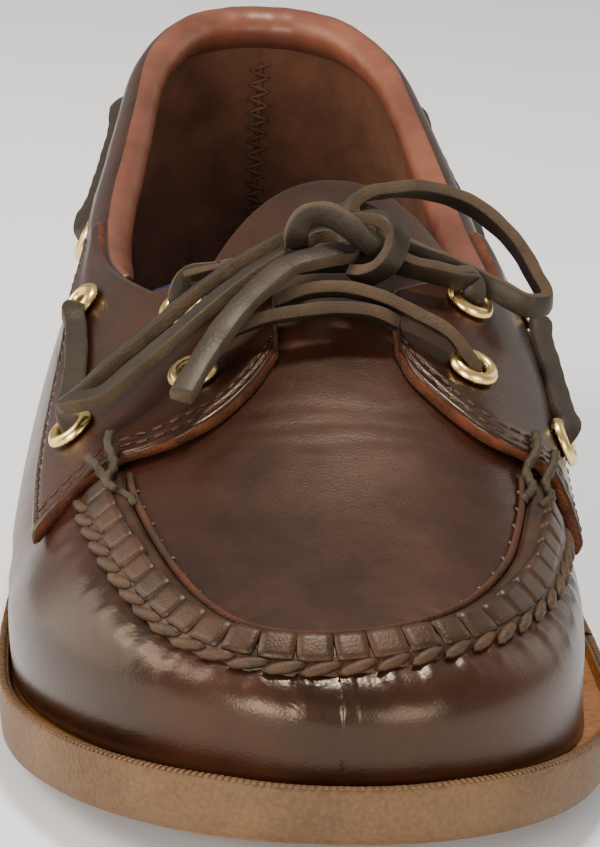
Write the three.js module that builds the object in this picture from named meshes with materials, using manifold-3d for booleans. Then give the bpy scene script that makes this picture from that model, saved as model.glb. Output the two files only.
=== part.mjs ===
// Boat shoe, right foot: a hand-sewn moccasin upper on a one-piece rubber sole.
// Millimetres, +Z up, toe towards -Y, inner (medial) side of the foot towards +X, floor at z = 0.
import * as THREE from "three";
import { mergeVertices } from "three/addons/utils/BufferGeometryUtils.js";
import Module from "manifold-3d";

const wasm = await Module();
wasm.setup();

// Overall sizes
const SHOE_LENGTH = 296;
const GAP = 0.3;
const WALL = 2.0;
const HEEL_Y = SHOE_LENGTH / 2;

// The last: each row is one cross-section, s is the distance forward from the back of the sole
// lateral and medial are half widths, ridge the sideways place of the crown, crown its height
// feather is where the upper meets the sole, rise how far above it the section is widest
const LAST_HEEL = 3;
const LAST_TOE = 291.5;
const SECTIONS = [
  { s: 3, lateral: 33, medial: 33, ridge: 0, crown: 128, feather: 24, rise: 12, nLateral: 2.0, nMedial: 2.0 },
  { s: 40, lateral: 34, medial: 34.5, ridge: 0, crown: 124, feather: 23.5, rise: 12, nLateral: 2.0, nMedial: 2.0 },
  { s: 80, lateral: 40, medial: 40, ridge: 1, crown: 108, feather: 20, rise: 12, nLateral: 2.0, nMedial: 2.0 },
  { s: 115, lateral: 47, medial: 44, ridge: 2.5, crown: 92, feather: 15.5, rise: 14, nLateral: 2.0, nMedial: 2.1 },
  { s: 150, lateral: 51.5, medial: 46.5, ridge: 4, crown: 82, feather: 12.5, rise: 15, nLateral: 1.9, nMedial: 2.3 },
  { s: 180, lateral: 53.8, medial: 47, ridge: 4.5, crown: 71, feather: 11.2, rise: 14, nLateral: 1.8, nMedial: 2.5 },
  { s: 210, lateral: 54.6, medial: 46.5, ridge: 4, crown: 60, feather: 11.2, rise: 12, nLateral: 1.9, nMedial: 2.6 },
  { s: 240, lateral: 53, medial: 46.3, ridge: 2.5, crown: 49, feather: 12.8, rise: 10, nLateral: 2.3, nMedial: 2.7 },
  { s: 265, lateral: 49, medial: 46, ridge: 1, crown: 42, feather: 15.3, rise: 9, nLateral: 2.6, nMedial: 2.7 },
  { s: 291.5, lateral: 44, medial: 44, ridge: -0.5, crown: 36, feather: 19, rise: 8, nLateral: 2.7, nMedial: 2.7 },
];
const TOE_ROUND = { lateral: 66, medial: 60, lateralPower: 2.2, medialPower: 2.3 };
const HEEL_ROUND = { radius: 42, power: 2.1 };
const TOE_WALL = { length: 16, power: 2.6 };
const TOE_DRIFT = -1;
const TUCK = { lateral: 1.2, medial: -0.8 };
const HEEL_LEAN = { from: 34, over: 58, reach: 90, amount: 6 };

// The top line of the opening, then the front corner where it turns in to the throat
const TOP_LINE = [
  { s: 3, z: 92.5 }, { s: 12, z: 91.5 }, { s: 25, z: 88.5 }, { s: 45, z: 84 },
  { s: 75, z: 76.5 }, { s: 105, z: 69.5 }, { s: 135, z: 65.5 }, { s: 168, z: 65.5 },
];
const CORNER = 168;
const THROAT_REAR = 181;
const THROAT_FRONT = 198;
const THROAT_X = { lateral: -6.8, medial: 14.2 };

// Interpolation through a table's rows, smooth at each row
function curve(rows, key, s) {
  const last = rows.length - 1;
  const at = Math.min(Math.max(s, rows[0].s), rows[last].s);
  let i = 0;
  while (i < last - 1 && at > rows[i + 1].s) i += 1;
  const slope = (k) => (rows[k + 1][key] - rows[k][key]) / (rows[k + 1].s - rows[k].s);
  const tangent = (k) => {
    if (k === 0) return slope(0);
    if (k === last) return slope(last - 1);
    const before = rows[k].s - rows[k - 1].s;
    const after = rows[k + 1].s - rows[k].s;
    return (slope(k - 1) * after + slope(k) * before) / (before + after);
  };
  const span = rows[i + 1].s - rows[i].s;
  const t = (at - rows[i].s) / span;
  return rows[i][key] * (2 * t ** 3 - 3 * t ** 2 + 1) + span * tangent(i) * (t ** 3 - 2 * t ** 2 + t)
    + rows[i + 1][key] * (3 * t ** 2 - 2 * t ** 3) + span * tangent(i + 1) * (t ** 3 - t ** 2);
}

function clamp(value, low, high) {
  return Math.min(Math.max(value, low), high);
}

function rounding(distance, radius, power) {
  const q = clamp(1 - Math.max(distance, 0) / radius, 0, 1);
  return Math.max(1 - q ** power, 0) ** (1 / power);
}

// The last's surface; inset moves it inwards, a negative inset outwards
function middle(s) {
  const q = clamp((s - 150) / 140, 0, 1);
  return TOE_DRIFT * q * q * (3 - 2 * q);
}

function closing(s, side, inset) {
  const radius = side < 0 ? TOE_ROUND.lateral : TOE_ROUND.medial;
  const power = side < 0 ? TOE_ROUND.lateralPower : TOE_ROUND.medialPower;
  return rounding(LAST_TOE - inset - s, radius, power)
    * rounding(s - LAST_HEEL - inset, HEEL_ROUND.radius, HEEL_ROUND.power);
}

function edgeX(s, side, inset) {
  const half = curve(SECTIONS, side < 0 ? "lateral" : "medial", s);
  return middle(s) + side * (half - inset) * closing(s, side, inset);
}

function ridgeX(s, inset) {
  return middle(s) + curve(SECTIONS, "ridge", s) * closing(s, 1, inset);
}

function featherZ(s) {
  return curve(SECTIONS, "feather", s);
}

function widestZ(s) {
  return featherZ(s) + curve(SECTIONS, "rise", s);
}

function crownZ(s, inset) {
  const height = curve(SECTIONS, "crown", s) - inset - widestZ(s);
  return widestZ(s) + height * rounding(LAST_TOE - inset - s, TOE_WALL.length, TOE_WALL.power);
}

function squareness(s, side) {
  return curve(SECTIONS, side < 0 ? "nLateral" : "nMedial", s);
}

function place(x, s, z) {
  const k = clamp((z - HEEL_LEAN.from) / HEEL_LEAN.over, 0, 2);
  const q = clamp(1 - (s - LAST_HEEL) / HEEL_LEAN.reach, 0, 1);
  return new THREE.Vector3(x, HEEL_Y - s - HEEL_LEAN.amount * k ** 1.5 * q ** 1.3, z);
}

// Stations are shared by all layers, so a layer's ends are drawn in with its inset
function layerS(s, inset) {
  const share = (s - LAST_HEEL) / (LAST_TOE - LAST_HEEL);
  return LAST_HEEL + inset + share * (LAST_TOE - LAST_HEEL - 2 * inset);
}

function onSection(s, side, angle, inset) {
  const at = layerS(s, inset);
  const n = squareness(at, side);
  const ridge = ridgeX(at, inset);
  const x = ridge + (edgeX(at, side, inset) - ridge) * Math.max(Math.cos(angle), 0) ** (2 / n);
  const z = widestZ(at) + (crownZ(at, inset) - widestZ(at)) * Math.sin(angle) ** (2 / n);
  return place(x, at, z);
}

function belowWidest(s, side, share, inset) {
  const at = layerS(s, inset);
  const tuck = (side < 0 ? TUCK.lateral : TUCK.medial) * closing(at, side, inset);
  const x = edgeX(at, side, inset) - side * tuck * (1 - share) ** 2;
  return place(x, at, featherZ(at) + share * (widestZ(at) - featherZ(at)));
}

function angleAtZ(s, side, z) {
  const r = clamp((z - widestZ(s)) / Math.max(crownZ(s, 0) - widestZ(s), 1e-6), 0, 1);
  return Math.asin(r ** (squareness(s, side) / 2));
}

function angleAtX(s, side, x) {
  const r = clamp((x - ridgeX(s, 0)) / (edgeX(s, side, 0) - ridgeX(s, 0)), 0, 1);
  return Math.acos(r ** (squareness(s, side) / 2));
}

function xAtZ(s, side, z) {
  const angle = angleAtZ(s, side, z);
  return ridgeX(s, 0) + (edgeX(s, side, 0) - ridgeX(s, 0)) * Math.cos(angle) ** (2 / squareness(s, side));
}

// The opening's edge as an angle of the section: the top line, then the turn to the throat
function openingAngle(s, side) {
  if (s <= CORNER) return angleAtZ(s, side, curve(TOP_LINE, "z", s));
  const t = clamp((s - CORNER) / (THROAT_REAR - CORNER), 0, 1);
  const start = xAtZ(CORNER, side, curve(TOP_LINE, "z", CORNER));
  const throat = side < 0 ? THROAT_X.lateral : THROAT_X.medial;
  if (s <= THROAT_REAR) return angleAtX(s, side, start + (throat - start) * t ** 0.8);
  return angleAtX(s, side, throat * clamp((LAST_TOE - s) / 60, 0, 1));
}

// Mesh helpers: a welded geometry, a solid from two skins, and a solid from stacked rings
function weld(points, triangles) {
  const raw = new THREE.BufferGeometry();
  raw.setAttribute("position", new THREE.Float32BufferAttribute(points.flatMap((p) => [p.x, p.y, p.z]), 3));
  raw.setIndex(triangles.flat());
  const merged = mergeVertices(raw, 1e-3);
  const index = merged.getIndex();
  const at = merged.getAttribute("position");
  const kept = [];
  let volume = 0;
  for (let i = 0; i < index.count; i += 3) {
    const corner = [0, 1, 2].map((k) => index.getX(i + k));
    if (new Set(corner).size < 3) continue;
    const [a, b, c] = corner.map((k) => new THREE.Vector3().fromBufferAttribute(at, k));
    volume += a.dot(b.cross(c)) / 6;
    kept.push(corner);
  }
  if (volume < 0) kept.forEach((corner) => corner.reverse());
  merged.setIndex(kept.flat());
  return merged;
}

function twoSkins(columns, rows, present, outer, inner, seamless) {
  const points = [];
  const triangles = [];
  const index = (i, j, skin) => skin * columns * rows + i * rows + j;
  for (const skin of [outer, inner]) {
    for (let i = 0; i < columns; i += 1) {
      for (let j = 0; j < rows; j += 1) points.push(skin(i, j));
    }
  }
  const has = (i, j) => i >= 0 && j >= 0 && i < columns - 1 && j < rows - 1 && present(i, j);
  const quad = (a, b, c, d) => triangles.push([a, b, c], [a, c, d]);
  for (let i = 0; i < columns - 1; i += 1) {
    for (let j = 0; j < rows - 1; j += 1) {
      if (!has(i, j)) continue;
      quad(index(i, j, 0), index(i + 1, j, 0), index(i + 1, j + 1, 0), index(i, j + 1, 0));
      quad(index(i, j + 1, 1), index(i + 1, j + 1, 1), index(i + 1, j, 1), index(i, j, 1));
      if (!has(i, j - 1)) quad(index(i + 1, j, 0), index(i, j, 0), index(i, j, 1), index(i + 1, j, 1));
      if (!has(i, j + 1)) quad(index(i, j + 1, 0), index(i + 1, j + 1, 0), index(i + 1, j + 1, 1), index(i, j + 1, 1));
      const atStart = i === 0 && seamless;
      const atEnd = i === columns - 2 && seamless;
      if (!has(i - 1, j) && !atStart) quad(index(i, j, 0), index(i, j + 1, 0), index(i, j + 1, 1), index(i, j, 1));
      if (!has(i + 1, j) && !atEnd) {
        quad(index(i + 1, j + 1, 0), index(i + 1, j, 0), index(i + 1, j, 1), index(i + 1, j + 1, 1));
      }
    }
  }
  return weld(points, triangles);
}

function ringStack(rings) {
  const around = rings[0].length;
  const half = around / 2;
  const triangles = [];
  for (let k = 0; k < rings.length - 1; k += 1) {
    for (let i = 0; i < around; i += 1) {
      const next = (i + 1) % around;
      const low = k * around;
      const high = (k + 1) * around;
      triangles.push([low + i, low + next, high + next], [low + i, high + next, high + i]);
    }
  }
  const cap = (base, up) => {
    for (let i = 0; i < half; i += 1) {
      const far = (around - i) % around;
      const corners = [[base + i, base + i + 1, base + around - i - 1], [base + i, base + around - i - 1, base + far]];
      corners.forEach((corner) => triangles.push(up ? corner : [...corner].reverse()));
    }
  };
  cap(0, false);
  cap((rings.length - 1) * around, true);
  return weld(rings.flat(), triangles);
}

function toManifold(geometry) {
  const position = geometry.getAttribute("position");
  return new wasm.Manifold(new wasm.Mesh({
    numProp: 3,
    vertProperties: new Float32Array(position.array),
    triVerts: new Uint32Array(geometry.getIndex().array),
  }));
}

function fromManifold(solid) {
  const mesh = solid.getMesh();
  const geometry = new THREE.BufferGeometry();
  geometry.setAttribute("position", new THREE.Float32BufferAttribute(mesh.vertProperties, 3));
  geometry.setIndex([...mesh.triVerts]);
  return geometry;
}

// Stations along the length, closer together at both ends and at the opening's front corners
const CORNER_STATIONS = [160, 168, 171, 175, 178.5];
const REAR_STATIONS = Array.from({ length: 17 }, (_, k) => LAST_HEEL + (150 - LAST_HEEL) * (1 - Math.cos(Math.PI * k / 32)));
const FRONT_STATIONS = Array.from({ length: 18 }, (_, k) => THROAT_REAR + (LAST_TOE - THROAT_REAR) * Math.sin(Math.PI * k / 34));
const STATIONS = [...REAR_STATIONS, ...CORNER_STATIONS, ...FRONT_STATIONS];

// Upper: one hollow wall, open at the collar and throat and underneath
const ROWS = { low: 2, side: 9, throat: 4 };
const SPLIT = ROWS.low + ROWS.side;
const UPPER_ROWS = 2 * SPLIT + ROWS.throat + 1;

function upperPoint(i, j, inset) {
  const s = STATIONS[i];
  const fromLateral = j <= SPLIT + ROWS.throat / 2;
  const side = fromLateral ? -1 : 1;
  const row = fromLateral ? j : UPPER_ROWS - 1 - j;
  if (row < ROWS.low) return belowWidest(s, side, row / ROWS.low, inset);
  const split = openingAngle(s, side);
  if (row <= SPLIT) return onSection(s, side, split * (row - ROWS.low) / ROWS.side, inset);
  const beyond = (row - SPLIT) / (ROWS.throat / 2);
  return onSection(s, side, split + (Math.PI / 2 - split) * beyond, inset);
}

function upperPresent(i, j) {
  const behindThroat = STATIONS[i + 1] <= THROAT_REAR + 1e-6;
  return !(behindThroat && j >= SPLIT && j < SPLIT + ROWS.throat);
}

const upperShell = twoSkins(
  STATIONS.length, UPPER_ROWS, upperPresent,
  (i, j) => upperPoint(i, j, 0), (i, j) => upperPoint(i, j, WALL), true,
);

// Saddle flaps: thick leather from the throat to a low front tip, running back up to the collar
const FLAP_THICK = 2.7;
const FLAP_GAP = 0.45;
const FLAP_REAR = 118;
const FLAPS = {
  lateral: {
    side: -1,
    front: [
      { s: 0, along: 226, x: -49.2 }, { s: 0.12, along: 222.8, x: -44.6 }, { s: 0.28, along: 218.8, x: -39.2 },
      { s: 0.4, along: 217.4, x: -35 }, { s: 0.55, along: 218.5, x: -29.6 }, { s: 0.7, along: 217.6, x: -23.5 },
      { s: 0.84, along: 212.5, x: -16 }, { s: 0.93, along: 205.3, x: -10.6 }, { s: 1, along: 198, x: -7 },
    ],
    low: [
      { s: 118, z: 62.5 }, { s: 128, z: 61 }, { s: 142, z: 56.5 }, { s: 160, z: 51.5 },
      { s: 175, z: 46 }, { s: 198, z: 40 }, { s: 226, z: 36.5 },
    ],
  },
  medial: {
    side: 1,
    front: [
      { s: 0, along: 223, x: 44.4 }, { s: 0.12, along: 217, x: 42.6 }, { s: 0.28, along: 213, x: 39.6 },
      { s: 0.4, along: 214.5, x: 36.4 }, { s: 0.55, along: 216.8, x: 31 }, { s: 0.7, along: 215.2, x: 25.5 },
      { s: 0.84, along: 209.5, x: 19.5 }, { s: 0.93, along: 204, x: 15.8 }, { s: 1, along: 198, x: 14 },
    ],
    low: [
      { s: 118, z: 62.5 }, { s: 128, z: 61 }, { s: 142, z: 56.5 }, { s: 160, z: 51 },
      { s: 175, z: 45.5 }, { s: 198, z: 38.5 }, { s: 223, z: 35 },
    ],
  },
};
const FLAP_COLUMNS = 18;
const FLAP_ROWS = 9;

// A flap's grid runs from its rear end to its front edge, and from its lower edge to the top line
function flapPoint(flap, i, j, inset) {
  const u = i / (FLAP_COLUMNS - 1);
  const v = j / (FLAP_ROWS - 1);
  const tip = flap.front[0];
  const lowS = FLAP_REAR + (tip.along - FLAP_REAR) * u;
  const topS = FLAP_REAR + (THROAT_FRONT - FLAP_REAR) * u;
  const lowAngle = angleAtZ(lowS, flap.side, curve(flap.low, "z", lowS));
  const throat = flap.side < 0 ? THROAT_X.lateral : THROAT_X.medial;
  const topAngle = topS <= THROAT_REAR ? openingAngle(topS, flap.side) : angleAtX(topS, flap.side, throat);
  const frontS = curve(flap.front, "along", v);
  const frontAngle = angleAtX(frontS, flap.side, curve(flap.front, "x", v));
  const endLow = angleAtZ(tip.along, flap.side, curve(flap.low, "z", tip.along));
  const endTop = angleAtX(THROAT_FRONT, flap.side, throat);
  const pull = u ** 4;
  const s = lowS + (topS - lowS) * v + pull * (frontS - tip.along - (THROAT_FRONT - tip.along) * v);
  const angle = lowAngle + (topAngle - lowAngle) * v + pull * (frontAngle - endLow - (endTop - endLow) * v);
  return onSection(s, flap.side, angle, inset);
}

function flapSolid(flap) {
  return twoSkins(
    FLAP_COLUMNS, FLAP_ROWS, () => true,
    (i, j) => flapPoint(flap, i, j, -FLAP_GAP - FLAP_THICK), (i, j) => flapPoint(flap, i, j, -FLAP_GAP), false,
  );
}

// Moccasin seam: the raised ridge that joins the vamp wall to the plug, as a U on the last
const SEAM_WIDTH = 8;
const SEAM_HEIGHT = 2.6;
const SEAM_PATH = [
  { x: -38.6, s: 223 }, { x: -38, s: 230 }, { x: -36.4, s: 238 }, { x: -33.7, s: 249 }, { x: -30.4, s: 259 },
  { x: -26, s: 268.4 }, { x: -20.5, s: 275.6 }, { x: -14, s: 279.8 }, { x: -7.7, s: 281.3 }, { x: -2, s: 281.3 },
  { x: 5.4, s: 280 }, { x: 14, s: 276.4 }, { x: 22.2, s: 270 }, { x: 29, s: 261 }, { x: 33.8, s: 251 },
  { x: 37.2, s: 238.5 }, { x: 39, s: 229 }, { x: 39.7, s: 222.5 },
];
const SEAM_SECTION = [
  { across: -0.5, rise: 0.12 }, { across: -0.46, rise: 0.8 }, { across: -0.28, rise: 1 },
  { across: 0.28, rise: 1 }, { across: 0.46, rise: 0.8 }, { across: 0.5, rise: 0.12 },
];
const SEAM_STEPS = 36;
const seamCurve = new THREE.CatmullRomCurve3(SEAM_PATH.map((p) => new THREE.Vector3(p.x, HEEL_Y - p.s, 0)));

function onPlan(x, s, inset) {
  const side = x < ridgeX(s, inset) ? -1 : 1;
  const n = squareness(s, side);
  const r = clamp((x - ridgeX(s, inset)) / (edgeX(s, side, inset) - ridgeX(s, inset)), 0, 1);
  return place(x, s, widestZ(s) + (crownZ(s, inset) - widestZ(s)) * (1 - r ** n) ** (1 / n));
}

function seamPoint(i, j, raised) {
  const t = i / SEAM_STEPS;
  const centre = seamCurve.getPointAt(t);
  const along = seamCurve.getTangentAt(t);
  const spread = SEAM_SECTION[j].across * SEAM_WIDTH;
  const x = centre.x + along.y * spread;
  const y = centre.y - along.x * spread;
  return onPlan(x, HEEL_Y - y, -GAP - (raised ? SEAM_HEIGHT * SEAM_SECTION[j].rise : 0));
}

const seam = twoSkins(
  SEAM_STEPS + 1, SEAM_SECTION.length, () => true,
  (i, j) => seamPoint(i, j, true), (i, j) => seamPoint(i, j, false), false,
);

// Tongue: under the plug's rear edge, rising to a rounded end that leans to the medial side
const TONGUE = { front: 190, end: 138, round: 24, centre: 8, half: 27, thick: 1.8, columns: 12, rows: 10 };

function tonguePoint(i, j, inset) {
  const v = 2 * j / (TONGUE.rows - 1) - 1;
  const end = TONGUE.end + TONGUE.round * Math.abs(v) ** 2.4;
  const s = TONGUE.front + (end - TONGUE.front) * i / (TONGUE.columns - 1);
  return onPlan(TONGUE.centre + TONGUE.half * v, s, inset);
}

const tongue = twoSkins(
  TONGUE.columns, TONGUE.rows, () => true,
  (i, j) => tonguePoint(i, j, WALL + 2 * GAP), (i, j) => tonguePoint(i, j, WALL + 2 * GAP + TONGUE.thick), false,
);

// Back strip: a narrow strip of leather over the seam at the back of the heel
const BACK_STRIP = { low: 27, top: 91, halfLow: 9, halfTop: 5, thick: 1.4, columns: 9, rows: 5 };

function backStripPoint(i, j, inset) {
  const v = 2 * j / (BACK_STRIP.rows - 1) - 1;
  const rise = i / (BACK_STRIP.columns - 1);
  const z = BACK_STRIP.low + (BACK_STRIP.top - BACK_STRIP.low) * rise;
  const half = BACK_STRIP.halfLow + (BACK_STRIP.halfTop - BACK_STRIP.halfLow) * rise;
  const x = Math.abs(v) * half;
  let near = LAST_HEEL + inset;
  let far = near + 20;
  for (let step = 0; step < 40; step += 1) {
    const trial = (near + far) / 2;
    const narrow = z > widestZ(trial) ? (1 - clamp((z - widestZ(trial)) / (crownZ(trial, inset) - widestZ(trial)), 0, 1) ** 2) ** 0.5 : 1;
    if (Math.abs(edgeX(trial, 1, inset)) * narrow < x) near = trial;
    else far = trial;
  }
  return place(Math.sign(v) * x, far, z);
}

const backStrip = twoSkins(
  BACK_STRIP.columns, BACK_STRIP.rows, () => true,
  (i, j) => backStripPoint(i, j, -GAP - BACK_STRIP.thick), (i, j) => backStripPoint(i, j, -GAP), false,
);

// Sole: outline rows, then the height of its underside, with heel, waist and toe spring
const SOLE_OUTLINE = [
  { s: 0, lateral: 36, medial: 36.5 }, { s: 40, lateral: 37.5, medial: 38.5 }, { s: 80, lateral: 42.5, medial: 43.5 },
  { s: 115, lateral: 48.5, medial: 47.5 }, { s: 150, lateral: 53.5, medial: 50.5 }, { s: 180, lateral: 56, medial: 53 },
  { s: 210, lateral: 56.5, medial: 54 }, { s: 240, lateral: 55, medial: 53.5 }, { s: 265, lateral: 52, medial: 51.5 },
  { s: 296, lateral: 48.5, medial: 48.5 },
];
const SOLE_ROUND = { toe: 66, toePower: 2.25, heel: 42, heelPower: 2.1 };
const UNDERSIDE = [
  { s: 0, z: 1.6 }, { s: 8, z: 0 }, { s: 40, z: 0 }, { s: 76, z: 0 }, { s: 83, z: 7 }, { s: 96, z: 6 },
  { s: 112, z: 2.2 }, { s: 126, z: 0 }, { s: 160, z: 0 }, { s: 200, z: 0 }, { s: 220, z: 0.7 }, { s: 245, z: 3 },
  { s: 268, z: 5.9 }, { s: 284, z: 8.3 }, { s: 296, z: 10.2 },
];
const RIM_HEIGHT = 1.4;
const RIM_CLEAR = 0.8;
const SOLE_STATIONS = [
  0, 1, 3, 6, 10, 16, 24, 34, 48, 62, 76, 83, 96, 112, 126, 142, 160, 180, 200, 212, 224, 236, 246, 255, 263, 270, 276,
  281, 285, 288.5, 291.5, 293.7, 295.2, 296,
];

function undersideZ(s) {
  let i = 0;
  while (i < UNDERSIDE.length - 2 && s > UNDERSIDE[i + 1].s) i += 1;
  const t = clamp((s - UNDERSIDE[i].s) / (UNDERSIDE[i + 1].s - UNDERSIDE[i].s), 0, 1);
  return UNDERSIDE[i].z + t * (UNDERSIDE[i + 1].z - UNDERSIDE[i].z);
}

function soleLoop(inset, height) {
  const one = (side) => SOLE_STATIONS.map((station) => {
    const s = inset + station * (SHOE_LENGTH - 2 * inset) / SHOE_LENGTH;
    const half = curve(SOLE_OUTLINE, side < 0 ? "lateral" : "medial", s) - inset;
    const round = rounding(SHOE_LENGTH - inset - s, SOLE_ROUND.toe, SOLE_ROUND.toePower)
      * rounding(s - inset, SOLE_ROUND.heel, SOLE_ROUND.heelPower);
    return new THREE.Vector3(middle(s) + side * half * round, HEEL_Y - s, height(s));
  });
  return [...one(-1), ...one(1).slice(1, -1).reverse()];
}

// The rim's inner side keeps a small distance from the upper all round
function rimLoop(clear, height) {
  const one = (side) => SOLE_STATIONS.map((station) => {
    const s = layerS(LAST_HEEL + station * (LAST_TOE - LAST_HEEL) / SHOE_LENGTH, -clear);
    const tuck = (side < 0 ? TUCK.lateral : TUCK.medial) * closing(s, side, -clear);
    return new THREE.Vector3(edgeX(s, side, -clear) - side * tuck, HEEL_Y - s, height(s));
  });
  return [...one(-1), ...one(1).slice(1, -1).reverse()];
}

const outsole = ringStack([
  soleLoop(2.2, undersideZ),
  soleLoop(1.0, (s) => undersideZ(s) + 1.2),
  soleLoop(0.3, (s) => featherZ(s) - 3),
  soleLoop(0, (s) => featherZ(s) + RIM_HEIGHT - 1),
  soleLoop(0.7, (s) => featherZ(s) + RIM_HEIGHT),
  rimLoop(RIM_CLEAR + 0.4, (s) => featherZ(s) + RIM_HEIGHT - 0.4),
  rimLoop(RIM_CLEAR, (s) => featherZ(s) - GAP),
]);

// Insole: the blue footbed lying on the sole inside the upper
const INSOLE = { inset: WALL + 2, thick: 3 };

function insoleLoop(inset, height) {
  const one = (side) => STATIONS.filter((_, k) => k % 2 === 0 || k === STATIONS.length - 1).map((station) => {
    const s = layerS(station, inset);
    return new THREE.Vector3(edgeX(s, side, inset), HEEL_Y - s, featherZ(s) + height);
  });
  return [...one(-1), ...one(1).slice(1, -1).reverse()];
}

const insole = ringStack([
  insoleLoop(INSOLE.inset, 0),
  insoleLoop(INSOLE.inset, INSOLE.thick - 0.6),
  insoleLoop(INSOLE.inset + 0.8, INSOLE.thick),
]);

// Eyelets: brass rings with a barrel, four along each side and two in each flap's front
const EYELETS = [
  { name: "front_lower_lateral", side: -1, s: 201, z: 58.6, onFlap: true },
  { name: "front_upper_lateral", side: -1, s: 179.5, z: 64.6, onFlap: true },
  { name: "front_lower_medial", side: 1, s: 200, z: 60.5, onFlap: true },
  { name: "front_upper_medial", side: 1, s: 179, z: 67, onFlap: true },
  { name: "side_1_lateral", side: -1, s: 198.5, z: 47.5, onFlap: true },
  { name: "side_2_lateral", side: -1, s: 155, z: 58.8, onFlap: true },
  { name: "side_3_lateral", side: -1, s: 104, z: 60.5, onFlap: false },
  { name: "side_4_lateral", side: -1, s: 35, z: 76.5, onFlap: false },
  { name: "side_1_medial", side: 1, s: 195, z: 46.5, onFlap: true },
  { name: "side_2_medial", side: 1, s: 154, z: 58.8, onFlap: true },
  { name: "side_3_medial", side: 1, s: 104, z: 60.8, onFlap: false },
  { name: "side_4_medial", side: 1, s: 34, z: 77.5, onFlap: false },
];
const EYELET_PROFILE = [
  { r: 2.1, h: -4.8 }, { r: 2.1, h: 0.9 }, { r: 3.3, h: 1.7 },
  { r: 4.8, h: 0.3 }, { r: 2.6, h: 0.3 }, { r: 2.6, h: -4.8 },
];
const EYELET_HOLE = 2.95;
const EYELET_LIFT = 0.35;

function eyeletFrame(eyelet) {
  const inset = eyelet.onFlap ? -FLAP_GAP - FLAP_THICK : 0;
  const angle = angleAtZ(eyelet.s, eyelet.side, eyelet.z);
  const at = onSection(eyelet.s, eyelet.side, angle, inset);
  const up = onSection(eyelet.s, eyelet.side, angle + 0.04, inset);
  const fore = onSection(eyelet.s + 2, eyelet.side, angle, inset);
  const normal = up.sub(at).cross(fore.sub(at)).normalize();
  if (normal.z + normal.x * eyelet.side < 0) normal.negate();
  const turn = new THREE.Quaternion().setFromUnitVectors(new THREE.Vector3(0, 1, 0), normal);
  return { at, normal, turn };
}

const frames = Object.fromEntries(EYELETS.map((eyelet) => [eyelet.name, eyeletFrame(eyelet)]));

function eyeletGeometry(eyelet) {
  const { at, normal, turn } = frames[eyelet.name];
  const depth = eyelet.onFlap ? 0 : FLAP_THICK + FLAP_GAP;
  const profile = EYELET_PROFILE.map(({ r, h }) => new THREE.Vector2(r, h < 0 ? h + depth : h + EYELET_LIFT));
  const lathe = new THREE.LatheGeometry([...profile, profile[0]], 9);
  lathe.deleteAttribute("uv");
  lathe.deleteAttribute("normal");
  lathe.applyQuaternion(turn);
  lathe.translate(at.x, at.y, at.z);
  const position = lathe.getAttribute("position");
  const points = Array.from({ length: position.count }, (_, k) => new THREE.Vector3().fromBufferAttribute(position, k));
  const index = [...lathe.getIndex().array];
  return weld(points, Array.from({ length: index.length / 3 }, (_, k) => index.slice(3 * k, 3 * k + 3)));
}

function punched(geometry, side, onlyFlap) {
  let solid = toManifold(geometry);
  for (const eyelet of EYELETS) {
    if (side !== 0 && eyelet.side !== side) continue;
    if (onlyFlap && !eyelet.onFlap) continue;
    const { at, turn } = frames[eyelet.name];
    const drill = new THREE.CylinderGeometry(EYELET_HOLE, EYELET_HOLE, 16, 8);
    drill.deleteAttribute("uv");
    drill.deleteAttribute("normal");
    drill.applyQuaternion(turn);
    drill.translate(at.x, at.y, at.z);
    solid = solid.subtract(toManifold(mergeVertices(drill, 1e-4)));
  }
  return fromManifold(solid);
}

// Lace: a rawhide strip; its runs between eyelets are flat strips swept over the leather
const LACE = { width: 4.2, thick: 2.8, corner: 0.5, lift: 0.5 };

function strip(points, normals, steps) {
  const path = new THREE.CatmullRomCurve3(points);
  const facing = new THREE.CatmullRomCurve3(normals);
  const w = LACE.width / 2;
  const h = LACE.thick / 2;
  const c = LACE.corner;
  const section = [
    [-w, -h + c], [-w + c, -h], [w - c, -h], [w, -h + c], [w, h - c], [w - c, h], [-w + c, h], [-w, h - c],
  ];
  const rings = [];
  for (let i = 0; i <= steps; i += 1) {
    const along = path.getTangent(i / steps);
    const face = facing.getPoint(i / steps);
    const across = new THREE.Vector3().crossVectors(along, face).normalize();
    const out = new THREE.Vector3().crossVectors(across, along).normalize();
    const centre = path.getPoint(i / steps);
    rings.push(section.map(([a, b]) => centre.clone().addScaledVector(across, a).addScaledVector(out, b)));
  }
  return ringStack(rings);
}

// A side run lies along the leather between two eyelets, just clear of their rings
function sideRun(front, rear, side) {
  const flapLift = LACE.thick / 2 + LACE.lift;
  const points = [];
  const normals = [];
  for (let k = 0; k <= 6; k += 1) {
    const t = 0.03 + 0.94 * k / 6;
    const s = front.s + (rear.s - front.s) * t;
    const z = front.z + (rear.z - front.z) * t;
    const clear = 2.1 * Math.max(Math.abs(2 * t - 1) - 0.55, 0) / 0.45;
    const cover = front.onFlap ? FLAP_GAP + FLAP_THICK : 0;
    const angle = angleAtZ(s, side, z);
    const at = onSection(s, side, angle, -cover);
    const up = onSection(s, side, angle + 0.04, -cover);
    const fore = onSection(s + 2, side, angle, -cover);
    const normal = up.sub(at).cross(fore.sub(at)).normalize();
    if (normal.z + normal.x * side < 0) normal.negate();
    points.push(at.addScaledVector(normal, flapLift + clear + 0.5));
    normals.push(normal);
  }
  return strip(points, normals, 12);
}

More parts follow.
